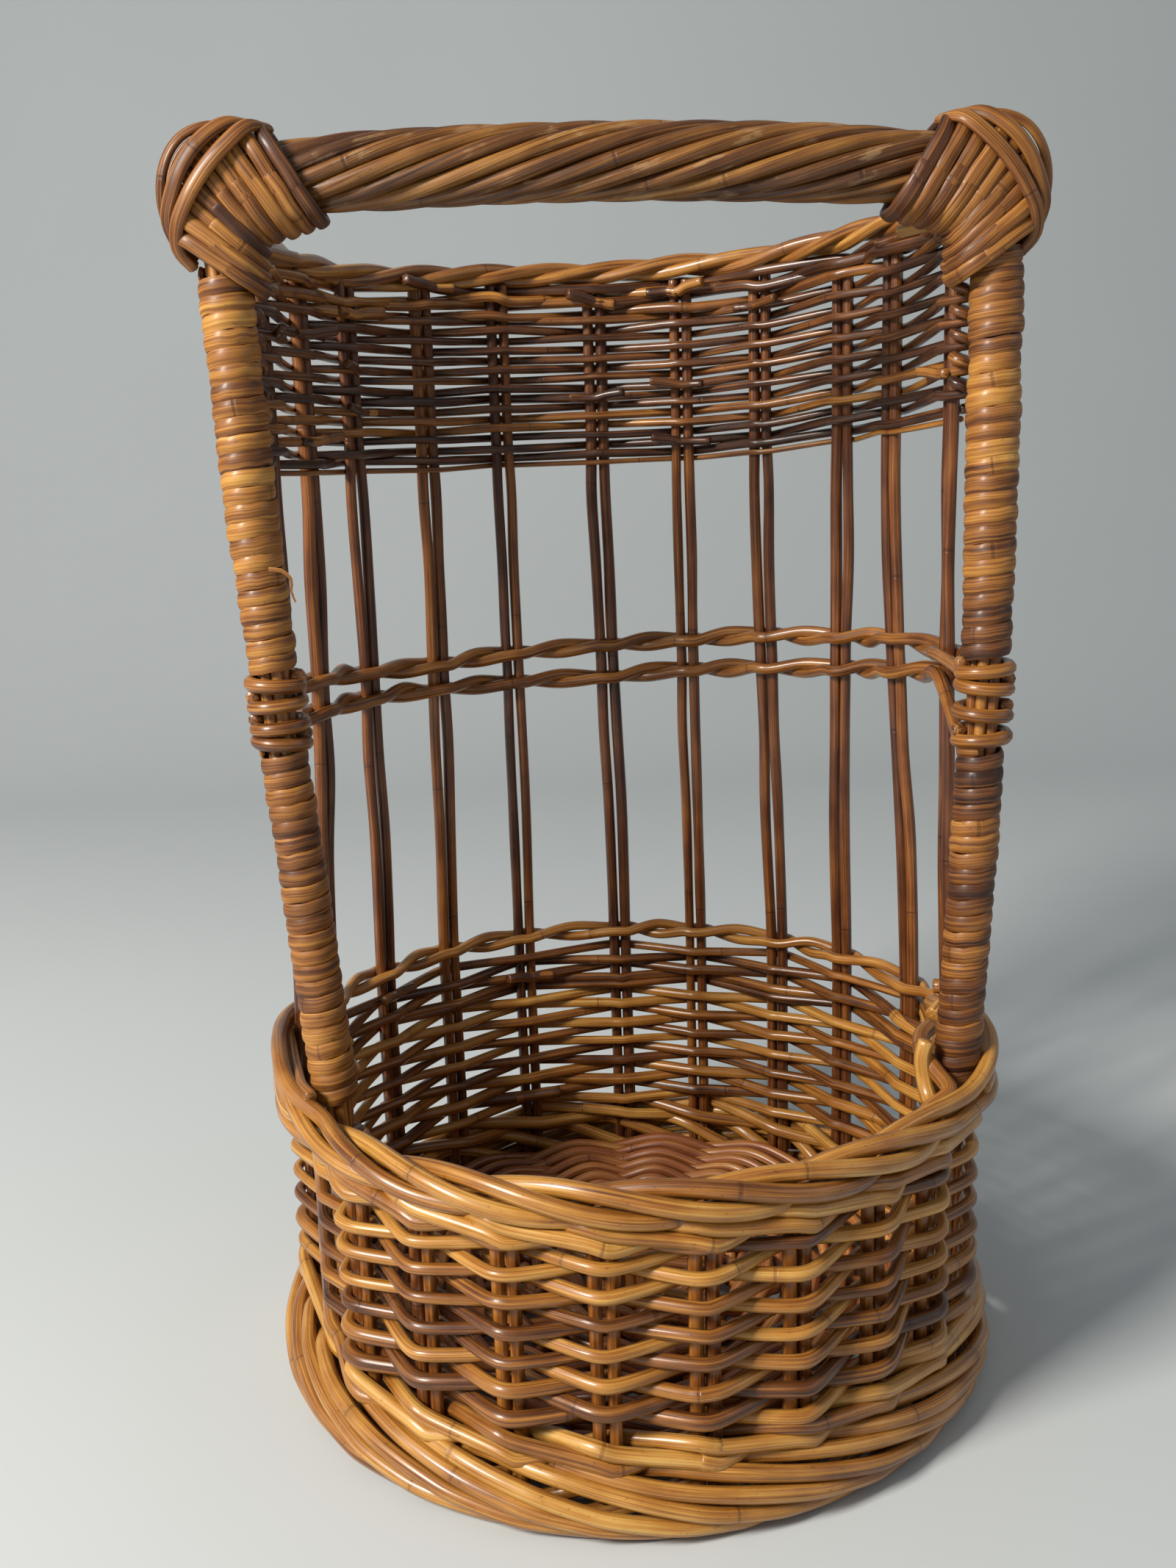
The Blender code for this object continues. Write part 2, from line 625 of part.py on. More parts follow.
# Corner wraps and handle
# The handle's rods reach from one corner wrap to the other, and the core fills the space inside them
HANDLE_COVERED = (post_axis(1, HANDLE_HEIGHT).x - WRAP_REACH - (WRAP_INSIDE - WRAP_ON_POST)
                  - WRAP_ROD - CLEARANCE)
HANDLE_SPREAD = rope_radius(HANDLE_RODS, HANDLE_ROD, 2 * HANDLE_COVERED / HANDLE_TURNS)
HANDLE_CORE = HANDLE_SPREAD * math.cos(math.radians(180 / LOOP_POINTS)) - HANDLE_ROD - CLEARANCE


def corner_path(travel, reach):
    """Where a line at a reach outside or inside the corner has got to, as steps along X and up Z."""
    length = WRAP_INSIDE + 2 * (reach + WRAP_REACH)
    gone = travel * length
    rising = WRAP_ON_POST + reach + WRAP_REACH
    if gone < rising:
        return reach, gone - WRAP_ON_POST - WRAP_REACH
    return reach - (gone - rising), reach


def make_corner_wraps():
    """One cane a corner, coiled round the post, over the corner and on round the end of the handle."""
    steps = WRAP_LOOPS * WRAP_POINTS
    for side, word in ((-1, "left"), (1, "right")):
        top = post_axis(side, HANDLE_HEIGHT)
        slope = Vector((side * POST_SLOPE_OUT, POST_SLOPE_BACK, 0))
        points = []
        for step in range(steps + 1):
            swing = 2 * math.pi * step / WRAP_POINTS
            inner = corner_path(step / steps, -WRAP_REACH)
            outer = corner_path(step / steps, WRAP_REACH)
            share = (1 + math.cos(swing)) / 2
            along = inner[0] + (outer[0] - inner[0]) * share
            rise = inner[1] + (outer[1] - inner[1]) * share
            spot = top + Vector((side * along, WRAP_REACH * math.sin(swing), rise))
            points.append(spot + slope * rise)
        rod("corner_wrap_" + word, points, WRAP_ROD, BINDING_CANE, SLENDER_ROD)
        print_least_gap("corner_wrap_" + word, points, 2 * WRAP_ROD)


def make_handle():
    """A stout core between the posts, with rods laid round it in a long twist."""
    end = post_axis(1, HANDLE_HEIGHT)
    half = end.x - POST_RADIUS - HANDLE_CORE * POST_SLOPE_OUT - CLEARANCE
    steps = int(HANDLE_TURNS * LOOP_POINTS)

    def bow(x):
        return HANDLE_HEIGHT + HANDLE_BOW * (1 - (x / half) ** 2)

    core = [Vector((half * (2 * n / steps - 1), end.y, 0)) for n in range(steps + 1)]
    for point in core:
        point.z = bow(point.x)
    rod("handle_core", core, HANDLE_CORE, HANDLE_CANE)
    spread = HANDLE_SPREAD
    for number in range(HANDLE_RODS):
        points = []
        for step in range(steps + 1):
            x = HANDLE_COVERED * (2 * step / steps - 1)
            phase = 2 * math.pi * (number / HANDLE_RODS - step / LOOP_POINTS)
            points.append(Vector((x, end.y + spread * math.cos(phase), bow(x) + spread * math.sin(phase))))
        rod(f"handle_rod_{number + 1}", points, HANDLE_ROD, HANDLE_CANE)


# Bindings
def print_least_gap(name, points, width):
    """The least distance between canes a turn or more apart, measured between the points of their line."""
    least = min(
        (points[a] - points[b]).length - width
        for a in range(len(points))
        for b in range(a + LOOP_POINTS - 1, min(len(points), a + 2 * LOOP_POINTS))
    )
    print(f"{name}: least gap to itself {least * 1000:.2f} mm")


def cane_section(name, width):
    """Flat cane, as wide as given at the post and narrower at its face."""
    curve = bpy.data.curves.new(name, "CURVE")
    curve.dimensions = "2D"
    curve.fill_mode = "NONE"
    spline = curve.splines.new("POLY")
    spline.points.add(3)
    spline.use_cyclic_u = True
    inside, outside = -BINDING_THICKNESS / 2, BINDING_THICKNESS / 2
    face = width / 2 * BINDING_EDGE_SHARE
    corners = [(inside, width / 2), (outside, face), (outside, -face), (inside, -width / 2)]
    for number, (x, y) in enumerate(corners):
        spline.points[number].co = (x, y, 0, 1)
    obj = bpy.data.objects.new(name, curve)
    obj.hide_render = True
    obj.display_type = "WIRE"
    CUTTERS.objects.link(obj)
    return obj


def make_binding(name, side, ends, turns):
    width = binding_width(ends, turns)
    reach = binding_reach(width)
    pitch = width + BINDING_GAP
    section = cane_section(name + "_section", width)
    points = []
    for step in range(turns * LOOP_POINTS + 1):
        height = ends[0] + pitch * (step / LOOP_POINTS + 1 / 2)
        points.append(post_axis(side, height) + at(reach, 360 * step / LOOP_POINTS, 0))
    rod(name, points, width, BINDING_CANE, section=section)
    print_least_gap(name, points, width)


def make_bindings():
    for side, word in ((-1, "left"), (1, "right")):
        make_binding("lower_binding_" + word, side, LOWER_BINDING, LOWER_TURNS)
        make_binding("upper_binding_" + word, side, UPPER_BINDING, UPPER_TURNS)


make_base_sticks()
make_base_weavers()
make_foot()
make_stakes()
make_posts()
make_wall()
make_back_rows()
make_front_edge()
make_back_rim()
make_rails()
make_band()
make_bindings()
make_handle()
make_corner_wraps()
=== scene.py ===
import math

import bpy
import numpy as np
from mathutils import Matrix, Vector


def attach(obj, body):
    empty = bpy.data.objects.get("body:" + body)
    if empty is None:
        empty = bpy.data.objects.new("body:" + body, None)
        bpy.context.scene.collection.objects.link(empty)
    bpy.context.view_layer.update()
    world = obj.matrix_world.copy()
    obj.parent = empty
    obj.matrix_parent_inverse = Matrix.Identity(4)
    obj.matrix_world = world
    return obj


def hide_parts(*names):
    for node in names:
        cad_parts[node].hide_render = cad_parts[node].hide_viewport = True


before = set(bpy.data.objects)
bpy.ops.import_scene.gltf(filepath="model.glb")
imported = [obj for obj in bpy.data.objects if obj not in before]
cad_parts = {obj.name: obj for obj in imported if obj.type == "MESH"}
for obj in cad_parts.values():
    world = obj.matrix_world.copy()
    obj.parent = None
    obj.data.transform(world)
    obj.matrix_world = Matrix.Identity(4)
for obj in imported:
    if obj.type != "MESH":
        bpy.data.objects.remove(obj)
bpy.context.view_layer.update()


# Camera
# A hand-held view from the front and a little above, with the open front of the basket towards it.
# The place, the tips and the lens are those that the rims, rails, posts and handle of the photograph give.
CAMERA_PLACE = Vector((-0.0338, -0.7102, 0.4455))
CAMERA_DOWN = 0.216
CAMERA_LEFT = -0.0249
CAMERA_ROLL = 0.033
LENS_PER_HEIGHT = 0.9304
SENSOR = 36.0

level = Vector((math.cos(CAMERA_LEFT), math.sin(CAMERA_LEFT), 0))
ahead = Vector((-math.sin(CAMERA_LEFT) * math.cos(CAMERA_DOWN), math.cos(CAMERA_LEFT) * math.cos(CAMERA_DOWN),
                -math.sin(CAMERA_DOWN)))
upwards = level.cross(ahead)
camera_right = math.cos(CAMERA_ROLL) * level - math.sin(CAMERA_ROLL) * upwards
camera_up = math.sin(CAMERA_ROLL) * level + math.cos(CAMERA_ROLL) * upwards
camera = bpy.data.objects.new("camera", bpy.data.cameras.new("camera"))
camera.data.sensor_fit = "VERTICAL"
camera.data.sensor_height = SENSOR
camera.data.lens = SENSOR * LENS_PER_HEIGHT
camera.data.clip_start = 0.01
turned = Matrix((camera_right, camera_up, -ahead)).transposed().to_4x4()
camera.matrix_world = Matrix.Translation(CAMERA_PLACE) @ turned
bpy.context.scene.collection.objects.link(camera)
bpy.context.scene.camera = camera


# Floor and light
# A pale floor that rises into a pale backdrop behind the basket, with one big soft lamp at the upper left,
# where the photograph's light comes from, a weaker one at the right and a pale room all round. Their finishes
# are made of nodes, as all others are: a socket can be added to or multiplied as a number can.
FLOOR_REACH = 3.2
FLOOR_FRONT = 9.0
BEND_START = 1.3
BEND_RADIUS = 0.9
BEND_STEPS = 24
BACKDROP_HEIGHT = 3.4
FLOOR_COLOUR = (0.56, 0.60, 0.615)
FLOOR_SHADE = 0.94
ROOM_COLOUR = (0.84, 0.87, 0.90)
ROOM_STRENGTH = 0.29
LAMP_AIM = (0, 0, 0.25)
KEY_PLACE = (-1.55, -1.15, 1.55)
KEY_SIZE = 0.60
KEY_POWER = 80
KEY_COLOUR = (1.0, 0.94, 0.86)
FILL_PLACE = (1.7, -0.6, 1.1)
FILL_SIZE = 1.3
FILL_POWER = 3
FILL_COLOUR = (0.88, 0.94, 1.0)


class Socket:
    def __init__(self, nodes, output):
        self.nodes = nodes
        self.output = output

    def maths(self, operation, *values):
        return self.nodes.node("ShaderNodeMath", {"operation": operation}, dict(enumerate(values)))

    def __add__(self, other):
        return self.maths("ADD", self, other)

    def __sub__(self, other):
        return self.maths("SUBTRACT", self, other)

    def __rsub__(self, other):
        return self.maths("SUBTRACT", other, self)

    def __mul__(self, other):
        return self.maths("MULTIPLY", self, other)

    def __truediv__(self, other):
        return self.maths("DIVIDE", self, other)

    __radd__ = __add__
    __rmul__ = __mul__

    def clamped(self):
        return self.nodes.node("ShaderNodeClamp", {}, {"Value": self})

    def ramp(self, start, end):
        """0 below start, 1 above end, and a soft rise between them."""
        return self.nodes.node("ShaderNodeMapRange", {"interpolation_type": "SMOOTHSTEP"},
                               {"Value": self, "From Min": start, "From Max": end})

    def beside(self, output):
        """Another output of the same node."""
        return Socket(self.nodes, self.output.node.outputs[output])


class Nodes:
    def __init__(self, tree):
        self.tree = tree

    def node(self, kind, settings=None, sockets=None, output=0):
        """A node with its settings, its sockets set to values or linked, and the wanted output."""
        made = self.tree.nodes.new(kind)
        for key, value in (settings or {}).items():
            if key == "stops":
                elements = made.color_ramp.elements
                while len(elements) < len(value):
                    elements.new(1.0)
                for element, (place, colour) in zip(elements, value):
                    element.position = place
                    element.color = (*colour, 1)
            else:
                setattr(made, key, value)
        for key, value in (sockets or {}).items():
            if isinstance(value, Socket):
                self.tree.links.new(value.output, made.inputs[key])
            else:
                made.inputs[key].default_value = value
        return Socket(self, made.outputs[output]) if len(made.outputs) else None


def finish_of(name):
    """A new material and its nodes, still empty."""
    material = bpy.data.materials.new(name)
    material.use_nodes = True
    material.node_tree.nodes.clear()
    return material, Nodes(material.node_tree)


def soft_lamp(name, place, size, power, colour):
    lamp = bpy.data.lights.new(name, "AREA")
    lamp.size = size
    lamp.energy = power
    lamp.color = colour
    holder = bpy.data.objects.new(name, lamp)
    holder.location = place
    holder.rotation_euler = (Vector(LAMP_AIM) - Vector(place)).to_track_quat("-Z", "Y").to_euler()
    bpy.context.scene.collection.objects.link(holder)


profile = [(-FLOOR_FRONT, 0.0)]
for step in range(BEND_STEPS + 1):
    turn = math.pi / 2 * step / BEND_STEPS
    profile.append((BEND_START + BEND_RADIUS * math.sin(turn), BEND_RADIUS * (1 - math.cos(turn))))
profile.append((BEND_START + BEND_RADIUS, BACKDROP_HEIGHT))
corners = [(x, y, z) for y, z in profile for x in (-FLOOR_REACH, FLOOR_REACH)]
faces = [(2 * n, 2 * n + 1, 2 * n + 3, 2 * n + 2) for n in range(len(profile) - 1)]
floor_mesh = bpy.data.meshes.new("floor")
floor_mesh.from_pydata(corners, [], faces)
floor_mesh.shade_smooth()
floor = bpy.data.objects.new("floor", floor_mesh)
bpy.context.scene.collection.objects.link(floor)
floor_material, paper = finish_of("pale_floor")
cloudy = paper.node("ShaderNodeTexNoise", {}, {"Vector": paper.node("ShaderNodeTexCoord", output="Object"),
                                              "Scale": 2.5, "Detail": 3.0})
shaded = tuple(FLOOR_SHADE * part for part in FLOOR_COLOUR)
tone = paper.node("ShaderNodeMix", {"data_type": "RGBA"},
                  {"Factor": cloudy, 6: (*FLOOR_COLOUR, 1), 7: (*shaded, 1)}, output=2)
surface = paper.node("ShaderNodeBsdfPrincipled", {}, {"Base Color": tone, "Roughness": 0.85})
paper.node("ShaderNodeOutputMaterial", {}, {"Surface": surface})
floor_mesh.materials.append(floor_material)

room = bpy.data.worlds.new("room")
room.use_nodes = True
room.node_tree.nodes.clear()
air = Nodes(room.node_tree)
glow = air.node("ShaderNodeBackground", {}, {"Color": (*ROOM_COLOUR, 1), "Strength": ROOM_STRENGTH})
air.node("ShaderNodeOutputWorld", {}, {"Surface": glow})
bpy.context.scene.world = room
bpy.context.scene.view_settings.view_transform = "Standard"
soft_lamp("key_lamp", KEY_PLACE, KEY_SIZE, KEY_POWER, KEY_COLOUR)
soft_lamp("fill_lamp", FILL_PLACE, FILL_SIZE, FILL_POWER, FILL_COLOUR)


# Base
# Two groups of four sticks cross at the middle, where the one group pierces the other. Their sixteen ends are
# spread into spokes, and a pair of thin weavers fills the round out to the foot, a little domed. All canes of
# the basket are swept in the way given here, with small random changes that each section seeds for itself.
SPOKES = 16
SPOKE = 0.0030
SPOKE_REACH = 0.1560
SPOKE_PITCH = 0.0062
FAN_START = 0.022
FAN_SPAN = 0.05
STICK_PLACES = (FAN_START, 0.045, 0.075, 0.11, SPOKE_REACH)
STICK_LIFT = 0.0026
BASE_CANE = 0.0031
BASE_CROWN = 0.0080
BASE_RIM_LEVEL = 0.0185
BASE_FIRST = 0.030
BASE_LAST = 0.1590
BASE_TURNS = 10
BASE_RISE = 0.00579
BASE_FLAT_TO = 0.06
BASE_FLAT_SHARE = 0.7525

CANE_STEP = 0.0026
CANE_SIDES = 10
LINE_PARTS = 10
UNEVEN_SPAN = 0.035
END_SHARE = 0.2
END_THICK = 0.86
TRAVEL_SPREAD = 40
SHARP_ANGLE = 62


def at(radius, angle, height):
    """Places round the basket's axis. An angle is in degrees from the front, and grows to the right."""
    turn = np.radians(angle)
    place = np.broadcast_arrays(radius * np.sin(turn), -radius * np.cos(turn), height)
    return np.stack(place, axis=-1).astype(float)


def travelled(line):
    """How far along a line each of its places is."""
    return np.concatenate([[0], np.cumsum(np.linalg.norm(np.diff(line, axis=0), axis=1))])


def smooth_line(points):
    """A round line through the points, with its places about CANE_STEP apart."""
    points = np.asarray(points, float)
    padded = np.vstack([2 * points[0] - points[1], points, 2 * points[-1] - points[-2]])
    spans = np.sqrt(np.maximum(np.linalg.norm(np.diff(padded, axis=0), axis=1), 1e-7))
    knots = np.concatenate([[0], np.cumsum(spans)])
    p0, p1, p2, p3 = (padded[n:len(padded) - 3 + n] for n in range(4))
    t0, t1, t2, t3 = (knots[n:len(knots) - 3 + n, None] for n in range(4))
    pieces = []
    for part in range(LINE_PARTS):
        t = t1 + (t2 - t1) * part / LINE_PARTS
        a1 = (t1 - t) / (t1 - t0) * p0 + (t - t0) / (t1 - t0) * p1
        a2 = (t2 - t) / (t2 - t1) * p1 + (t - t1) / (t2 - t1) * p2
        a3 = (t3 - t) / (t3 - t2) * p2 + (t - t2) / (t3 - t2) * p3
        b1 = (t2 - t) / (t2 - t0) * a1 + (t - t0) / (t2 - t0) * a2
        b2 = (t3 - t) / (t3 - t1) * a2 + (t - t1) / (t3 - t1) * a3
        pieces.append((t2 - t) / (t2 - t1) * b1 + (t - t1) / (t2 - t1) * b2)
    line = np.vstack([np.stack(pieces, axis=1).reshape(-1, 3), points[-1:]])
    gone = travelled(line)
    count = max(int(round(gone[-1] / CANE_STEP)), 3)
    marks = np.linspace(0, gone[-1], count + 1)
    return np.stack([np.interp(marks, gone, line[:, axis]) for axis in range(3)], axis=1)


def drift(gone, spacing, size):
    """A slow random change along a line: up to size either way, and new about every spacing."""
    marks = chance.uniform(-size, size, int(gone[-1] / spacing) + 3)
    place = gone / spacing
    low = place.astype(int)
    share = (1 - np.cos(np.pi * (place - low))) / 2
    return marks[low] * (1 - share) + marks[low + 1] * share


def carried(along):
    """A direction square to a line at each of its places, carried along the line without a twist."""
    facing = [np.eye(3)[np.argmin(np.abs(along[0]))]]
    for way in along:
        turned = facing[-1] - way * np.dot(facing[-1], way)
        facing.append(turned / np.linalg.norm(turned))
    return np.array(facing[1:])


def cane(points, radius, tint, out=None, uneven=0.05, taper=0.0):
    """One cane along the points: its line, thickness, tint and the direction that its section faces."""
    line = smooth_line(points)
    gone = travelled(line)
    thick = radius * (1 + drift(gone, UNEVEN_SPAN, uneven)) * (1 - taper * gone / gone[-1])
    line = np.vstack([line[:1], line[:1] + (line[1] - line[0]) * END_SHARE, line[1:-1],
                      line[-1:] + (line[-2] - line[-1]) * END_SHARE, line[-1:]])
    gone = travelled(line)
    thick = np.concatenate([[thick[0] * END_THICK], thick, [thick[-1] * END_THICK]])
    along = np.gradient(line, axis=0)
    along /= np.linalg.norm(along, axis=1, keepdims=True)
    if out is None:
        facing = carried(along)
    else:
        facing = out(line)
        facing = facing - along * np.sum(facing * along, axis=1, keepdims=True)
        facing /= np.maximum(np.linalg.norm(facing, axis=1, keepdims=True), 1e-9)
    return {"line": line, "thick": thick, "tint": np.full(len(line), tint), "out": facing,
            "travel": gone + chance.uniform(0, TRAVEL_SPREAD)}


def cane_tree():
    """The geometry tree that gives lines their thickness, with a round or a flattened section."""
    tree = bpy.data.node_groups.new("cane_sweep", "GeometryNodeTree")
    for name, kind in (("Lines", "NodeSocketGeometry"), ("Sides", "NodeSocketInt"),
                       ("Across", "NodeSocketFloat"), ("Cane", "NodeSocketMaterial")):
        tree.interface.new_socket(name, in_out="INPUT", socket_type=kind)
    tree.interface.new_socket("Canes", in_out="OUTPUT", socket_type="NodeSocketGeometry")
    nodes = Nodes(tree)
    given = nodes.node("NodeGroupInput")

    def read(name, kind="FLOAT"):
        return nodes.node("GeometryNodeInputNamedAttribute", {"data_type": kind}, {"Name": name})

    def stored(geometry, name, value):
        return nodes.node("GeometryNodeStoreNamedAttribute", {"data_type": "FLOAT_VECTOR", "domain": "POINT"},
                          {"Geometry": geometry, "Name": name, "Value": value})

    curve = nodes.node("GeometryNodeMeshToCurve", {}, {"Mesh": given})
    curve = nodes.node("GeometryNodeSetCurveNormal", {"mode": "FREE"},
                       {"Curve": curve, "Normal": read("out", "FLOAT_VECTOR")})
    ring = nodes.node("GeometryNodeCurvePrimitiveCircle", {"mode": "RADIUS"},
                      {"Resolution": given.beside("Sides"), "Radius": 1.0})
    stretch = nodes.node("ShaderNodeCombineXYZ", {}, {"X": given.beside("Across"), "Y": 1.0, "Z": 1.0})
    ring = nodes.node("GeometryNodeTransform", {}, {"Geometry": ring, "Scale": stretch})
    ring = stored(ring, "section", nodes.node("GeometryNodeInputPosition"))
    body = nodes.node("GeometryNodeCurveToMesh", {}, {"Curve": curve, "Profile Curve": ring,
                                                     "Scale": read("thick"), "Fill Caps": True})
    section = nodes.node("ShaderNodeSeparateXYZ", {}, {"Vector": read("section", "FLOAT_VECTOR")})
    grown = nodes.node("ShaderNodeCombineXYZ", {}, {"X": read("travel"), "Y": section * read("thick"),
                                                    "Z": section.beside("Y") * read("thick")})
    body = stored(body, "cane", grown)
    for spare in ("section", "travel", "thick", "out"):
        body = nodes.node("GeometryNodeRemoveAttribute", {}, {"Geometry": body, "Name": spare})
    body = nodes.node("GeometryNodeRealizeInstances", {}, {"Geometry": body})
    body = nodes.node("GeometryNodeSetMaterial", {}, {"Geometry": body, "Material": given.beside("Cane")})
    nodes.node("NodeGroupOutput", {}, {"Canes": body})
    return tree


CANE_TREE = cane_tree()


def woven(name, canes, material, replaced, sides=CANE_SIDES, across=1.0):
    """A piece made of canes, which rides on the basket and stands for the solids of the same canes."""
    counts = [len(c["line"]) for c in canes]
    starts = np.concatenate([[0], np.cumsum(counts)[:-1]])
    edges = np.vstack([np.stack([np.arange(n - 1), np.arange(1, n)], axis=1) + start
                       for n, start in zip(counts, starts)])
    lines = bpy.data.meshes.new(name)
    lines.vertices.add(sum(counts))
    lines.vertices.foreach_set("co", np.vstack([c["line"] for c in canes]).ravel())
    lines.edges.add(len(edges))
    lines.edges.foreach_set("vertices", edges.ravel())
    for key in ("thick", "tint", "travel"):
        values = np.concatenate([c[key] for c in canes])
        lines.attributes.new(key, "FLOAT", "POINT").data.foreach_set("value", values)
    facings = np.vstack([c["out"] for c in canes]).ravel()
    lines.attributes.new("out", "FLOAT_VECTOR", "POINT").data.foreach_set("vector", facings)
    maker = bpy.data.objects.new(name + "_lines", lines)
    bpy.context.scene.collection.objects.link(maker)
    sweep = maker.modifiers.new("sweep", "NODES")
    sweep.node_group = CANE_TREE
    inputs = [item for item in CANE_TREE.interface.items_tree if item.in_out == "INPUT"]
    sockets = {item.name: item.identifier for item in inputs}
    sweep[sockets["Sides"]] = sides
    sweep[sockets["Across"]] = across
    sweep[sockets["Cane"]] = material
    shaped = maker.evaluated_get(bpy.context.evaluated_depsgraph_get())
    mesh = bpy.data.meshes.new_from_object(shaped)
    bpy.data.objects.remove(maker)
    mesh.shade_smooth()
    mesh.set_sharp_from_angle(angle=math.radians(SHARP_ANGLE))
    piece = bpy.data.objects.new(name, mesh)
    bpy.context.scene.collection.objects.link(piece)
    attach(piece, "root")
    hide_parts(*replaced)


JOINT_SPACING = 0.17
DARK_COLOUR = (0.22, 0.13, 0.09, 1)
RUBBED_COLOUR = (0.52, 0.34, 0.17, 1)


def cane_finish(name, stops, gloss=0.5, roughness=0.42, worn=False):
    """Varnished cane: grain and streaks along it, cloudy patches, a dark ring at each joint, a clear coat."""
    material, f = finish_of(name)

    def stored(name, output):
        return f.node("ShaderNodeAttribute", {"attribute_type": "GEOMETRY", "attribute_name": name},
                      output=output)

    def noise(along, across, detail):
        stretched = f.node("ShaderNodeVectorMath", {"operation": "MULTIPLY"},
                           {0: place, 1: (along, across, across)})
        return f.node("ShaderNodeTexNoise", {}, {"Vector": stretched, "Scale": 1.0, "Detail": detail})

    place = stored("cane", "Vector")
    fibres = noise(22, 1500, 3.0)
    streaks = noise(9, 620, 3.0)
    patches = noise(34, 60, 3.0)
    slow = noise(7, 0, 2.0)
    specks = noise(420, 700, 2.0).ramp(0.66, 0.74)
    travel = f.node("ShaderNodeSeparateXYZ", {}, {"Vector": place})
    beat = (travel + slow * (0.5 * JOINT_SPACING)) / JOINT_SPACING
    gap = beat.maths("ABSOLUTE", beat.maths("WRAP", beat, 0.5, -0.5)) * JOINT_SPACING
    ring = 1 - gap.ramp(0.0003, 0.0011)
    swell = 1 - gap.ramp(0.0, 0.006)
    shade = stored("tint", "Fac") + (streaks - 0.5) * 0.95 + (patches - 0.5) * 0.60
    shade = shade + (slow - 0.5) * 0.45 + (fibres - 0.5) * 0.80
    colour = f.node("ShaderNodeValToRGB", {"stops": stops}, {0: shade})
    dark = (ring * 0.32 + specks * 0.40 + swell * 0.14).clamped()
    colour = f.node("ShaderNodeMix", {"data_type": "RGBA", "blend_type": "MULTIPLY"},
                    {"Factor": dark, 6: colour, 7: DARK_COLOUR}, output=2)
    rough = roughness + (fibres - 0.5) * 0.25 + (patches - 0.5) * 0.22
    coat = (gloss + (patches - 0.5) * 0.8).clamped()
    if worn:
        rubbed = (noise(60, 160, 4.0) + (fibres - 0.5) * 0.35).ramp(0.60, 0.68)
        colour = f.node("ShaderNodeMix", {"data_type": "RGBA"},
                        {"Factor": rubbed * 0.30, 6: colour, 7: RUBBED_COLOUR}, output=2)
        rough = rough + rubbed * 0.12
    height = fibres * 0.00022 + streaks * 0.00040 + ring * -0.00020 + swell * 0.00035
    bump = f.node("ShaderNodeBump", {}, {"Strength": 0.85, "Distance": 1.0, "Height": height})
    varnish = f.node("ShaderNodeBsdfPrincipled", {},
                     {"Base Color": colour, "Roughness": rough, "Coat Weight": coat, "Coat Roughness": 0.22,
                      "Specular IOR Level": 0.38, "Normal": bump})
    f.node("ShaderNodeOutputMaterial", {}, {"Surface": varnish})
    return material


STAKE_FINISH = cane_finish("stake_cane", [(0.05, (0.032, 0.009, 0.004)), (0.35, (0.120, 0.034, 0.007)),
                                          (0.65, (0.280, 0.095, 0.014)), (0.95, (0.450, 0.195, 0.034))])
BASE_FINISH = cane_finish("base_cane", [(0.0, (0.035, 0.010, 0.006)), (0.35, (0.180, 0.050, 0.016)),
                                        (0.60, (0.340, 0.115, 0.034)), (0.85, (0.500, 0.235, 0.060)),
                                        (1.0, (0.560, 0.320, 0.100))])


def base_level(radius):
    return BASE_RIM_LEVEL + BASE_CROWN * (1 - (np.asarray(radius) / SPOKE_REACH) ** 2)


def faces_up(line):
    return line * 0 + (0, 0, 1)


chance = np.random.default_rng(61)
stick_canes = []
for number in range(SPOKES // 2):
    place = number % 4 - 1.5
    along, across = np.eye(3)[[0, 1]] if number < 4 else np.eye(3)[[1, 0]]
    lift = STICK_LIFT if number < 4 else -STICK_LIFT
    fan = place * 2 * math.pi / SPOKES
    points = []
    for reach in [-radius for radius in STICK_PLACES[::-1]] + list(STICK_PLACES):
        radius = abs(reach)
        share = min(1.0, max(0.0, (radius - FAN_START) / FAN_SPAN))
        straight = along * reach + across * place * SPOKE_PITCH
        fanned = along * reach * math.cos(fan) + across * radius * math.sin(fan)
        point = straight * (1 - share) + fanned * share
        point[2] = base_level(radius) + lift * (1 - share)
        points.append(point)
    stick_canes.append(cane(points, SPOKE, chance.uniform(0.35, 0.6), out=faces_up))
woven("base_canes", stick_canes, STAKE_FINISH, ["base_sticks"])

weave = []
for strand in (0, 1):
    steps = np.arange(2 * BASE_TURNS * SPOKES)
    radii = BASE_FIRST + (BASE_LAST - BASE_FIRST) * steps / len(steps)
    sides = np.array([-1, 0, 1, 0])[(steps + 2 * strand) % 4]
    rises = sides * BASE_RISE * np.interp(radii, (FAN_START, BASE_FLAT_TO), (BASE_FLAT_SHARE, 1.0))
    points = at(radii, 180 * (steps + 1) / SPOKES + 180 * strand, base_level(radii) + rises)
    weave.append(cane(points, BASE_CANE, 0.50 + 0.12 * strand, out=faces_up))
woven("base_weave", weave, BASE_FINISH, ["base_weaver_1", "base_weaver_2"], sides=8)


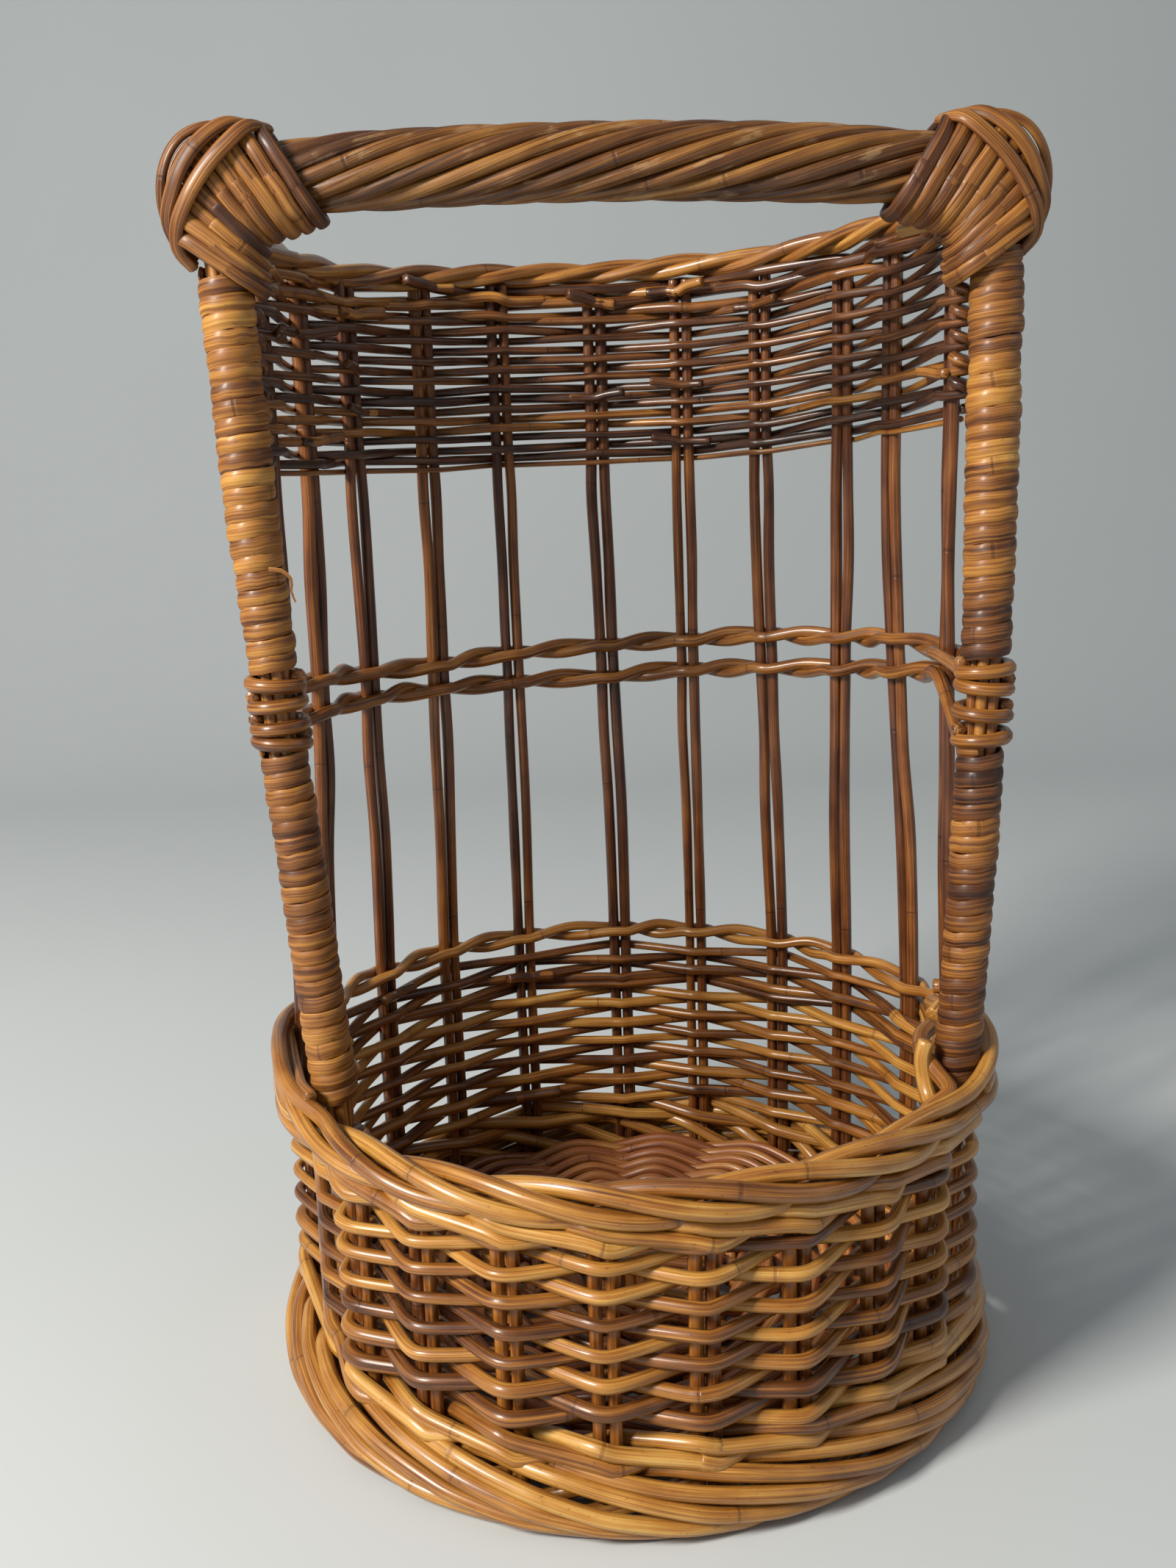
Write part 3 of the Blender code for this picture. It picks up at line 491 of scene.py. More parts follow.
# Back and front stakes
# Pairs of round canes stand side by side on one circle: long ones at the back, up to the top border, and
# short ones in front, which end under the front edge. The weave holds them, and where it doesn't they bow.
STAKE_HEIGHTS = (0.0, 0.15, 0.25, 0.35, 0.42)
STAKE_CIRCLES = (0.1675, 0.1675, 0.1640, 0.1620, 0.1612)
STAKE_RADIUS = 0.0032
STAKE_THICKNESS = (0.92, 1.07)
STAKE_SPARE = 0.00035
STAKE_TAPER = 0.05
STAKE_BOTTOM = 0.012
FRONT_ANGLES = [14.3 * (n - 3.5) for n in range(8)]
BACK_LOW = [90.0, 107.6, 127.6, 143.6, 161.9, 178.3, 199.2, 216.8, 233.8, 252.5, 270.0]
BACK_HIGH = [88.3, 112.9, 126.3, 145.6, 162.4, 180.0, 200.0, 216.8, 235.3, 249.9, 268.0]
LEAN_FROM, LEAN_TO = 0.21, 0.41
FRONT_STAKE_TOP = 0.1475
BACK_STAKE_TOP = 0.5455
STAKE_BOW = 0.0011
HELD_BOW = 0.000165
FREE_HEIGHTS = (0.24, 0.29, 0.39, 0.43)
HELD_HEIGHTS = (0.025, 0.07, 0.13, 0.16, 0.328, 0.348, 0.46, 0.50)
TOP_CLEAR = 0.008


def stake_circle(height):
    """How far from the axis the stakes stand at a height. The basket gets narrower upwards."""
    return np.interp(height, STAKE_HEIGHTS, STAKE_CIRCLES)


def back_angle(number, height):
    """Where a back stake stands at a height. The free canes lean a little to one side or the other."""
    return np.interp(height, (LEAN_FROM, LEAN_TO), (BACK_LOW[number], BACK_HIGH[number]))


def stake_pair(angle_at, top, tint):
    """Two canes side by side, held by the weave and free to bow between the rim, the rails and the band."""
    canes = []
    for side in (-1, 1):
        radius = STAKE_RADIUS * chance.uniform(*STAKE_THICKNESS)
        heights = sorted(h for h in FREE_HEIGHTS + HELD_HEIGHTS if h < top - TOP_CLEAR)
        points = []
        for height in [STAKE_BOTTOM] + heights + [top]:
            bow = STAKE_BOW if height in FREE_HEIGHTS else HELD_BOW
            sideways = side * (STAKE_RADIUS + STAKE_SPARE + abs(chance.normal(0, bow * 0.5)))
            angle = angle_at(height)
            point = at(1.0, angle, 0.0) * (stake_circle(height) + chance.normal(0, bow * 0.6))
            point += at(1.0, angle + 90, 0.0) * sideways
            point[2] = height
            points.append(point)
        canes.append(cane(points, radius, tint + chance.uniform(-0.14, 0.14), taper=STAKE_TAPER))
    return canes


chance = np.random.default_rng(11)
back_canes = []
for number in range(len(BACK_LOW)):
    back_canes += stake_pair(lambda height: back_angle(number, height), BACK_STAKE_TOP,
                             chance.uniform(0.30, 0.55))
front_canes = []
for angle in FRONT_ANGLES:
    front_canes += stake_pair(lambda height: angle, FRONT_STAKE_TOP, chance.uniform(0.35, 0.6))
woven("back_stakes", back_canes, STAKE_FINISH, [f"back_stake_{n}" for n in range(1, 12)])
woven("front_stakes", front_canes, STAKE_FINISH, [f"front_stake_{n}" for n in range(1, 9)])


# Posts
# A bundle of straight canes at each side of the opening carries the handle. It starts bare at the foot, where
# the wall is woven round it, and leans out and back above the front edge. The bindings hold it together.
POST_LINES = {-1: [(0.0, -0.1400), (0.1625, -0.1406), (0.188, -0.1435), (0.275, -0.1506), (0.317, -0.1548),
                   (0.366, -0.1577), (0.388, -0.1596), (0.422, -0.1623), (0.568, -0.1700)],
              1: [(0.0, 0.1492), (0.144, 0.1510), (0.176, 0.1535), (0.263, 0.1605), (0.309, 0.1634),
                  (0.358, 0.1662), (0.389, 0.1674), (0.564, 0.1720)]}
POST_FRONT = -0.0687
POST_BACK = -0.0350
POST_SHOULDER = 0.1646
POST_TOP = 0.568
POST_ANGLE = math.radians(65)
POST_STICKS = 6
POST_STICK = (0.0026, 0.0029)
POST_FOOT_SHAPE = (1.05, 2.1)
POST_BUNDLE = 0.0076
POST_CORE = 0.62
POST_GATHER = (0.125, 0.160)
POST_STEPS = np.array([0.014, 0.06, 0.10, *POST_GATHER, 0.22, 0.28, 0.34, 0.40, 0.46, 0.52, POST_TOP])


def post_axis(side, height):
    """Where the middle of the left (-1) or right (1) post is at a height."""
    across = np.interp(height, *zip(*POST_LINES[side]))
    back = np.interp(height, (POST_SHOULDER, POST_TOP), (POST_FRONT, POST_BACK))
    return np.stack(np.broadcast_arrays(across, back, height), axis=-1).astype(float)


chance = np.random.default_rng(5)
gathered = np.interp(POST_STEPS, POST_GATHER, (0, 1))[:, None]
post_canes = []
for side in (-1, 1):
    outward = np.array([math.sin(POST_ANGLE) * side, -math.cos(POST_ANGLE), 0])
    along = np.array([math.cos(POST_ANGLE), math.sin(POST_ANGLE) * side, 0])
    for number in range(POST_STICKS):
        swing = 2 * math.pi * (number + 0.5) / POST_STICKS
        out_part, along_part = outward * math.cos(swing), along * math.sin(swing)
        low = (out_part * POST_FOOT_SHAPE[0] + along_part * POST_FOOT_SHAPE[1]) * POST_STICK[1]
        high = (out_part + along_part) * (POST_BUNDLE - POST_STICK[0])
        points = post_axis(side, POST_STEPS) + low * (1 - gathered) + high * gathered
        post_canes.append(cane(points, POST_STICK[number % 2], chance.uniform(0.55, 0.85)))
    core = post_axis(side, POST_STEPS[POST_STEPS >= POST_GATHER[1]])
    post_canes.append(cane(core, POST_BUNDLE * POST_CORE, 0.4))
woven("posts", post_canes, STAKE_FINISH, ["post_left", "post_right"])


# Wall
# Long canes are woven in front of one pair of stakes and behind the next, row on row, all round. Where a
# cane runs out, its end is left inside behind a pair, and the next begins beside it.
WALL_CANE = 0.0038
WALL_BACK_CANE = 0.0030
WALL_START = 0.0455
WALL_PITCH = 0.00675
WALL_BACK_PITCH = 0.00630
WALL_TURNS = 13
FRONT_REACH = 1.4
POST_HOLD = 0.0062
POST_HALF = 0.0075
PAIR_HALF = 0.0052
STROKE_LOOSE = 0.0003
STROKE_SHAPE = ((-1, 0.90), (0, 1.06), (1, 0.90))
CANE_STROKES = (15, 24)
SHORTEST_CANE = 5
JOIN_IN = 0.0030
JOIN_LIFT = 0.0012
JOIN_TAIL = 0.011
JOIN_TAIL_SHARE = (0.5, 1.2)
START_CURL = 0.0010
END_CURL = 0.0012

WEAVER_STOPS = [(0.0, (0.026, 0.008, 0.003)), (0.25, (0.105, 0.033, 0.007)), (0.50, (0.275, 0.100, 0.015)),
                (0.75, (0.460, 0.212, 0.036)), (1.0, (0.620, 0.360, 0.090))]
WEAVER_FINISH = cane_finish("weaver_cane", WEAVER_STOPS)


def polar(place):
    """Angle from the front and distance from the axis of a place."""
    return math.degrees(math.atan2(place[0], -place[1])) % 360, math.hypot(place[0], place[1])


def uprights(height, front=True):
    """The uprights at a height, in order of angle: where each stands, and what a weaver goes round."""
    found = [(*polar(post_axis(side, height)), POST_HOLD, POST_HALF) for side in (1, -1)]
    angles = [back_angle(number, height) for number in range(len(BACK_LOW))]
    if front:
        angles += [angle % 360 for angle in FRONT_ANGLES]
    return sorted(found + [(angle, stake_circle(height), STAKE_RADIUS, PAIR_HALF) for angle in angles])


def stroke(upright, height, side, radius, loose=STROKE_LOOSE):
    """The points where a weaver passes one upright, on its outer side (1) or inner side (-1)."""
    angle, circle, hold, half = upright
    reach = side * (hold + radius)
    turn = math.degrees(half / circle)
    lift = chance.normal(0, loose * 1.4)
    return [at(circle + reach * share + chance.normal(0, loose * 0.5), angle + turn * place,
               height + lift + chance.normal(0, loose * 0.5))
            for place, share in STROKE_SHAPE]


def inward_from(place):
    """The level direction from a place to the basket's axis."""
    return -place * (1, 1, 0) / np.linalg.norm(place[:2])


def joined_canes(strokes, radius_of, tints, lengths=CANE_STROKES):
    """Cuts a long row of strokes, each (side, points), into canes with ends left on the inside."""
    canes = []
    start = 0
    last = len(strokes) - 1
    while start < last - 1:
        end = min(start + int(chance.integers(*lengths)), last)
        while end < last and strokes[end][0] >= 0:
            end += 1
        if last - end < SHORTEST_CANE:
            end = last
        points = [point for _, group in strokes[start:end + 1] for point in group]
        if start:
            inward = inward_from(points[0])
            points[0] = points[0] + inward * JOIN_IN + (0, 0, JOIN_LIFT)
            back = points[0] - points[2]
            points.insert(0, points[0] + back * (JOIN_TAIL / np.linalg.norm(back)) + inward * START_CURL)
        if end < last:
            onward = (points[-1] - points[-3]) / np.linalg.norm(points[-1] - points[-3])
            points.append(points[-1] + onward * JOIN_TAIL * chance.uniform(*JOIN_TAIL_SHARE)
                          + inward_from(points[-1]) * END_CURL)
        radius = radius_of(polar(points[len(points) // 2])[0])
        canes.append(cane(points, radius * chance.uniform(0.95, 1.08), chance.uniform(*tints),
                          taper=chance.uniform(0.02, 0.16)))
        start = end
    return canes


def front_share(angle):
    """1 at the front of the basket, 0 at the back."""
    return min(1.0, (0.5 + 0.5 * math.cos(math.radians(angle))) * FRONT_REACH)


def wall_radius(angle):
    """The rows are of thicker cane in front than at the back."""
    return WALL_BACK_CANE + (WALL_CANE - WALL_BACK_CANE) * front_share(angle)


def wall_height(angle, turns):
    return WALL_START + turns * (WALL_BACK_PITCH + (WALL_PITCH - WALL_BACK_PITCH) * front_share(angle))


chance = np.random.default_rng(23)
wall_uprights = uprights(0.08)
wall_strokes = []
for passed in range(WALL_TURNS * len(wall_uprights) + 1):
    upright = wall_uprights[passed % len(wall_uprights)]
    height = wall_height(upright[0], passed / len(wall_uprights))
    side = 1 if passed % 2 else -1
    wall_strokes.append((side, stroke(upright, height, side, wall_radius(upright[0]))))
wall = joined_canes(wall_strokes, wall_radius, (0.22, 0.82))
woven("wall_rows", wall, WEAVER_FINISH, ["wall_weaver"])


# Back rows
# Above the front edge the weaving goes on at the back alone. It turns back round the posts row by row, up to
# the back rim.
BACK_CANE = 0.00285
BACK_FIRST = 0.1285
BACK_PITCH = 0.00615
BACK_ROWS = 4


def round_upright(upright, height, next_height, side, way, radius):
    """The points where a weaver turns back round an upright's far face, from one side of it to the other."""
    angle, circle, hold, _ = upright
    reach = hold + radius
    points = []
    for share in (-0.15, 0.1, 0.3, 0.5, 0.7, 0.9, 1.15):
        swing = math.pi * share
        points.append(at(circle + side * reach * math.cos(swing),
                         angle + way * math.degrees(reach / circle) * math.sin(swing),
                         height + (next_height - height) * share))
    return points


def to_and_fro(places, height_of, rows, radius, turn_back, first_side=1, loose=STROKE_LOOSE):
    """The strokes of rows that go to and fro through the uprights and turn back at the outer two."""
    strokes = []
    for row in range(rows):
        way = 1 if row % 2 == 0 else -1
        order = list(enumerate(places))[::way]
        for place, upright in order[1:]:
            side = first_side * (1 if (place + row) % 2 else -1)
            height = height_of(upright[0], row)
            if place != order[-1][0]:
                strokes.append((side, stroke(upright, height, side, radius, loose)[::way]))
            elif row < rows - 1:
                next_height = height_of(upright[0], row + 1)
                strokes.append((0, turn_back(upright, height, next_height, side, way, radius)))
    return strokes


back_strokes = to_and_fro(uprights(0.14, front=False), lambda angle, row: BACK_FIRST + BACK_PITCH * row,
                          BACK_ROWS, BACK_CANE, round_upright)
woven("back_rows", joined_canes(back_strokes, lambda angle: BACK_CANE, (0.25, 0.75)), WEAVER_FINISH,
      ["back_wall_weaver"])


# Back rim
# Two thin canes are twined round the back stakes above the rows, one in front and one behind, and cross
# between the stakes. Their ends pass the posts, the one outside and the other inside, and stop there.
RIM_CANE = 0.0030
RIM_RISE = 0.0033
RIM_STAKES = 0.158
RIM_LINE = [(60, 0.1565), (90, 0.1575), (180, 0.1590), (230, 0.1605), (270, 0.1640), (300, 0.1670)]
RIM_POSTS = {1: 65, -1: 295}
RIM_OUTER_END = [(0.0135, 6.0), (0.0150, 1.0), (0.0150, -3.5)]
RIM_INNER_END = [(-0.01305, 5.0), (-0.0116, 2.5)]

BORDER_FINISH = cane_finish("border_cane", WEAVER_STOPS, gloss=0.65)


def level_on(line, angle):
    """How high a line of known (angle, height) places is at an angle."""
    return np.interp(angle, *zip(*line))


def twined_pair(places, line, radius, rise, loose=STROKE_LOOSE):
    """Two canes twined along uprights, as two lists of points, each outside every other upright."""
    strands = []
    for strand in (0, 1):
        points = []
        for number, upright in enumerate(places):
            side = 1 if (number + strand) % 2 else -1
            points += stroke(upright, level_on(line, upright[0]), side, radius, loose)
            if number + 1 < len(places):
                angle, circle = (np.array(upright[:2]) + places[number + 1][:2]) / 2
                points.append(at(circle, angle, level_on(line, angle) + side * rise))
        strands.append(points)
    return strands


chance = np.random.default_rng(31)
rim_canes = []
strands = twined_pair(uprights(RIM_STAKES, front=False)[1:-1], RIM_LINE, RIM_CANE, RIM_RISE)
for strand, points in enumerate(strands):
    for side in (1, -1):
        height = level_on(RIM_LINE, RIM_POSTS[side])
        angle, circle = polar(post_axis(side, height))
        end = [at(circle + reach, angle + side * away, height)
               for reach, away in (RIM_OUTER_END if strand else RIM_INNER_END)]
        points = end[::-1] + points if side > 0 else points + end
    rim_canes.append(cane(points, RIM_CANE, chance.uniform(0.4, 0.7)))
woven("back_rim", rim_canes, BORDER_FINISH, ["back_rim_1", "back_rim_2"])


# Foot
# Seven thick canes are wound round the bent ends of all the uprights as one rope that the basket stands on.
# A wale of three rods holds the uprights just above it. The ends of the canes are tucked inside.
FOOT_CANE = 0.0038
FOOT_CANES = 7
FOOT_TWISTS = 4
FOOT_STEPS = 150
FOOT_RING = [(0.0, 0.1700, 0.0305), (0.12, 0.1762, 0.0275), (0.25, 0.1800, 0.0210), (0.37, 0.1814, 0.0135),
             (0.48, 0.1800, 0.0080), (0.59, 0.1755, 0.0044), (0.70, 0.1695, 0.0042), (0.79, 0.1655, 0.0085),
             (0.85, 0.1645, 0.0150), (0.91, 0.1648, 0.0220), (0.96, 0.1665, 0.0280)]
FOOT_TUCK = 0.86
FOOT_END_GAP = 0.7
FOOT_WALE_LEVEL = 0.0372
FOOT_WALE_DROP = 0.0036
FOOT_WALE_ROD = 0.0036
WALE_SLANTS = {1: 0.0012, -1: -0.0008}
WALE_REACH = 1.04
WALE_HALF_SHARE = 0.8
WALE_SHAPE = ((-1, 0.95), (0, 1.0), (1, 0.95))


def wale_of_three(places, level, drop, rod):
    """Three rods along uprights, each in front of two and behind the next, and slanting as they pass."""
    rods = []
    for strand in range(3):
        points = []
        for number, (angle, circle, hold, half) in enumerate(places):
            part = (number + strand) % 3
            side = -1 if part == 2 else 1
            height = level + (drop, -drop, 0)[part] + chance.normal(0, STROKE_LOOSE)
            reach = side * (hold + rod) * WALE_REACH
            turn = math.degrees(half / circle) * WALE_HALF_SHARE
            points += [at(circle + reach * share, angle + turn * place, height - WALE_SLANTS[side] * place)
                       for place, share in WALE_SHAPE]
        rods.append(cane(points, rod, chance.uniform(0.4, 0.8), uneven=0.06))
    return rods


chance = np.random.default_rng(53)
ring_shares, ring_radii, ring_levels = zip(*FOOT_RING)
steps = np.arange(float(FOOT_STEPS))
foot_canes = []
for number in range(FOOT_CANES):
    start = (FOOT_TUCK - number / FOOT_CANES) * 360 / FOOT_TWISTS
    angles = np.linspace(start + FOOT_END_GAP, start + 360 - FOOT_END_GAP, FOOT_STEPS)
    phase = number / FOOT_CANES + drift(steps, 11.0, 0.030) + angles * FOOT_TWISTS / 360
    radii = np.interp(phase, ring_shares, ring_radii, period=1) + drift(steps, 14.0, 0.0007)
    heights = np.interp(phase, ring_shares, ring_levels, period=1)
    foot_canes.append(cane(at(radii, angles, heights), FOOT_CANE, chance.uniform(0.40, 0.80), uneven=0.07))
places = uprights(0.036)
places.append((places[0][0] + 360, *places[0][1:]))
foot_canes += wale_of_three(places, FOOT_WALE_LEVEL, FOOT_WALE_DROP, FOOT_WALE_ROD)
woven("foot_rope", foot_canes, BORDER_FINISH, [f"foot_strand_{n}" for n in range(1, 5)])


# Front edge
# A wale of three rods runs in front of two stakes and behind the next, and over it lies a thick rope of four.
# On the left their ends spread and go round the first back stake, on the right they sweep up round the post.
WALE_ROD = 0.0036
WALE_LEVEL = 0.1385
WALE_DROP = 0.0034
EDGE_ROD = 0.0041
EDGE_CIRCLE = 0.1710
EDGE_LEVEL = 0.1520
EDGE_SPREAD = 0.0064
EDGE_TWIST = 0.180
EDGE_SWINGS = (70, 160, 250, -20)
EDGE_ANGLES = np.linspace(53.0, -57.0, 26)
LEFT_LEVELS = (0.1640, 0.1720, 0.1560, 0.1480)
LEFT_START = (0.1762, -65.5)
LEFT_END = [(0.1765, -74, 0), (0.1757, -90, 0), (0.1720, -96, 0), (0.1640, -100, 0.001), (0.1575, -99, 0.002)]
RIGHT_ENDS = [
    [(0.1780, 59, 0.1590), (0.1818, 66, 0.1655), (0.1790, 74, 0.1715), (0.1700, 79.5, 0.1755),
     (0.1600, 80, 0.1760), (0.1535, 76, 0.1740)],
    [(0.170, 57, 0.159), (0.161, 60, 0.164), (0.153, 62.5, 0.169), (0.150, 67, 0.1725), (0.153, 71, 0.174)],
    [(0.167, 55, 0.150), (0.160, 58, 0.152), (0.156, 59.5, 0.160), (0.1545, 60, 0.170), (0.156, 60.5, 0.178)],
    [(0.1790, 59, 0.1500), (0.1822, 66, 0.1505), (0.1795, 75, 0.1500), (0.1772, 88, 0.1500),
     (0.1740, 94, 0.1540), (0.1650, 95.5, 0.1600), (0.1605, 91, 0.1650), (0.1630, 85.5, 0.1685),
     (0.1720, 84.5, 0.1700), (0.1775, 89, 0.1705), (0.1740, 94, 0.1700), (0.1650, 96, 0.1690)]]

places = uprights(0.138)
places = ([(angle - 360, *rest) for angle, *rest in places if angle > 250]
          + [place for place in places if place[0] < 110])
woven("front_wale", wale_of_three(places, WALE_LEVEL, WALE_DROP, WALE_ROD), WEAVER_FINISH,
      ["front_wale_1", "front_wale_2"])

chance = np.random.default_rng(47)
edge_canes = []
for swing_at_right, end_level, right_end in zip(EDGE_SWINGS, LEFT_LEVELS, RIGHT_ENDS):
    turned = 2 * math.pi * EDGE_CIRCLE * np.radians(EDGE_ANGLES[0] - EDGE_ANGLES) / EDGE_TWIST
    swings = math.radians(swing_at_right) + turned
    rope = at(EDGE_CIRCLE + EDGE_SPREAD * np.cos(swings), EDGE_ANGLES,
              EDGE_LEVEL + EDGE_SPREAD * np.sin(swings))
    left = [at(*LEFT_START, (rope[-1][2] + end_level) / 2)]
    left += [at(circle, angle, end_level + rise) for circle, angle, rise in LEFT_END]
    right = [at(*place) for place in right_end[::-1]]
    edge_canes.append(cane(right + list(rope) + left, EDGE_ROD, chance.uniform(0.45, 0.75),
                           uneven=0.04, taper=0.06))
woven("front_rope", edge_canes, BORDER_FINISH, [f"front_border_{n}" for n in (1, 2, 3)])


# Rails
# Half way up the back two pairs of canes are twined along the stakes. Each cane ends in a turn round either
# post, so that four turns lie above each other between the two bindings. The cut ends are on the inside.
RAIL_CANE = 0.0033
RAIL_RISE = 0.0026
RAIL_STAKES = 0.336
UPPER_RAIL = [(88, 0.349), (109, 0.350), (127, 0.3465), (145, 0.345), (162, 0.342), (179, 0.339),
              (202, 0.337), (223, 0.335), (235, 0.338), (252, 0.340), (272, 0.343)]
LOWER_RAIL = [(88, 0.339), (109, 0.333), (127, 0.329), (145, 0.3255), (162, 0.324), (180, 0.320),
              (202, 0.320), (223, 0.322), (237, 0.323), (254, 0.323), (272, 0.326)]
UPPER_LOOPS = [(0.3490, 0.3540), (0.3410, 0.3450)]
LOWER_LOOPS = [(0.3180, 0.3280), (0.3290, 0.3350)]
LOOP_TURNS = 1.15
LOOP_SLANT = 0.005
LOOP_STARTS = (220, -40)


def loop_round_post(side, height, outside):
    """A cane's end, a turn round a post from its outer or inner side on."""
    points = []
    for share in np.linspace(0, 1, 12):
        swing = math.radians(LOOP_STARTS[outside] + 360 * (LOOP_TURNS if outside else -LOOP_TURNS) * share)
        around = np.array([side * math.cos(swing), -math.sin(swing), 0]) * (POST_BUNDLE + RAIL_CANE)
        points.append(post_axis(side, height + LOOP_SLANT * (share - 0.5)) + around)
    return points


chance = np.random.default_rng(71)
for name, rail, loops in (("upper", UPPER_RAIL, UPPER_LOOPS), ("lower", LOWER_RAIL, LOWER_LOOPS)):
    canes = []
    for strand, points in enumerate(twined_pair(uprights(RAIL_STAKES, front=False)[1:-1], rail, RAIL_CANE,
                                                RAIL_RISE, loose=0.0004)):
        right, left = (loop_round_post(side, height, strand) for side, height in zip((1, -1), loops[strand]))
        canes.append(cane(right[::-1] + points + left, RAIL_CANE, chance.uniform(0.22, 0.50)))
    woven(name + "_rail", canes, WEAVER_FINISH, [f"{name}_rail_1", f"{name}_rail_2"])


# Bindings
# A long flat cane is wound round each post in a close coil, from the front edge to the rails and from the
# rails to the knot. Near the top the turns are looser. On the left a torn strip stands off them.
BINDING_PITCH = 0.0074
BINDING_HALF = 0.0040
BINDING_THIN = 0.0013
BINDING_REACH = [(0.15, 0.0108), (0.33, 0.0113), (0.38, 0.0113), (0.43, 0.0120), (0.53, 0.0120)]
BINDING_ENDS = {-1: [(0.1585, 0.3240), (0.3585, 0.5310)], 1: [(0.1470, 0.3135), (0.3535, 0.5290)]}
# How much lower each post's binding tints are: a little on the left, and more on the right, where the extra
# darkness is painted shade of the right post.
BINDING_DARKER_AND_PAINTED_SHADE = {-1: 0.05, 1: 0.16}
BINDING_POINTS = 14
BINDING_START = 1.2
BINDING_WAVE = 0.00022
BINDING_DRIFT = 0.0004
LOOSE_ABOVE = 0.46
LOOSE_DRIFT = 1.8
TINT_DRIFT = 0.17
TORN_HALF = 0.0011
TORN_STRIP = [(-0.1540, -0.0640, 0.4050), (-0.1480, -0.0640, 0.4040), (-0.1446, -0.0630, 0.4000),
              (-0.1452, -0.0620, 0.3950), (-0.1438, -0.0610, 0.3900)]

BINDING_STOPS = [(0.0, (0.030, 0.009, 0.004)), (0.25, (0.125, 0.040, 0.009)), (0.50, (0.300, 0.116, 0.020)),
                 (0.75, (0.480, 0.230, 0.044)), (1.0, (0.640, 0.370, 0.100))]
BINDING_FINISH = cane_finish("binding_cane", BINDING_STOPS, gloss=0.16, roughness=0.54)


def coil(side, low, high, tint):
    """A flat cane coiled round a post from one height to another."""
    turns = (high - low) / BINDING_PITCH
    steps = np.arange(int(turns * BINDING_POINTS) + 1.0)
    shares = steps / steps[-1]
    heights = low + (high - low) * shares + chance.normal(0, BINDING_WAVE, len(steps))
    swings = 2 * math.pi * turns * shares + BINDING_START
    spread = BINDING_DRIFT * np.where(heights > LOOSE_ABOVE, LOOSE_DRIFT, 1.0)
    reach = level_on(BINDING_REACH, heights) - BINDING_THIN + drift(steps, BINDING_POINTS * 0.9, 1.0) * spread
    around = np.stack([np.cos(swings), np.sin(swings), steps * 0], axis=1)
    made = cane(post_axis(side, heights) + around * reach[:, None], BINDING_HALF, tint,
                out=lambda line: (line - post_axis(side, line[:, 2])) * (1, 1, 0))
    turned = np.linspace(0, turns, len(made["line"]))
    made["tint"] = made["tint"] + drift(turned, 0.9, TINT_DRIFT) + drift(turned, 4.0, TINT_DRIFT)
    return made


chance = np.random.default_rng(83)
for side, word in ((-1, "left"), (1, "right")):
    coils = [coil(side, low, high, chance.uniform(0.45, 0.58) - BINDING_DARKER_AND_PAINTED_SHADE[side])
             for low, high in BINDING_ENDS[side]]
    if side < 0:
        coils.append(cane(TORN_STRIP, TORN_HALF, 0.50, taper=0.6))
    woven("bindings_" + word, coils, BINDING_FINISH,
          ["lower_binding_" + word, "upper_binding_" + word], across=BINDING_THIN / BINDING_HALF)


# Band
# Thin canes are woven to and fro through the back stakes, before one pair and behind the next, and turn back
# behind the posts. The lowest row is a thin rod, and the last rows under the border are loose and uneven.
BAND_CANE = 0.0024
BAND_PITCH = 0.0053
BAND_ROWS = 15
BAND_FIRST_GAP = 0.0048
BAND_EDGE_ROD = 0.0015
BAND_EDGE_HOLD = 0.0031
BAND_EDGE = [(80, 0.462), (97, 0.459), (119, 0.455), (130, 0.453), (148, 0.448), (164, 0.447), (201, 0.446),
             (218, 0.445), (247, 0.445), (280, 0.446)]
BORDER_LINE = [(78, 0.5620), (102, 0.5590), (121, 0.5580), (133, 0.5550), (148, 0.5520), (163, 0.5526),
               (180, 0.5507), (200, 0.5500), (216, 0.5480), (233, 0.5455), (248, 0.5470), (282, 0.5500)]
BORDER_ROD = 0.0033
BORDER_SPREAD = 0.0028
LOOSE_ROWS = 4
LOOSE_CANE = 0.00288
LOOSE_HOLD = 0.00276
LOOSE_WAVE = 0.0011
LOOSE_TOP_GAP = 0.4
LOOSE_STROKES = (7, 12)
BAND_STROKES = (12, 22)
BOUND_HOLD = 0.0121
TURN_OUT = 0.0012
TURN_REACH = 0.0042
TURN_EASE = 1.2


def behind_upright(upright, height, next_height, side, way, radius):
    """The points where a weaver turns back just before the last upright, against its near face."""
    angle, circle, hold, _ = upright
    near = angle - way * math.degrees((hold + radius) / circle)
    points = []
    for share in (0.0, 0.25, 0.5, 0.75, 1.0):
        swing = math.pi * share
        points.append(at(stake_circle(height) + TURN_OUT + side * TURN_REACH * math.cos(swing),
                         near - way * TURN_EASE * (1 - math.sin(swing)),
                         height + (next_height - height) * share))
    return points


def band_height(angle, row):
    low = level_on(BAND_EDGE, angle) + BAND_FIRST_GAP
    high = level_on(BORDER_LINE, angle) - BORDER_SPREAD - BORDER_ROD
    if row < BAND_ROWS:
        return low + BAND_PITCH * row
    top = low + BAND_PITCH * (BAND_ROWS - 1)
    return top + (high - top) * (row - BAND_ROWS + 1) / (LOOSE_ROWS + LOOSE_TOP_GAP)


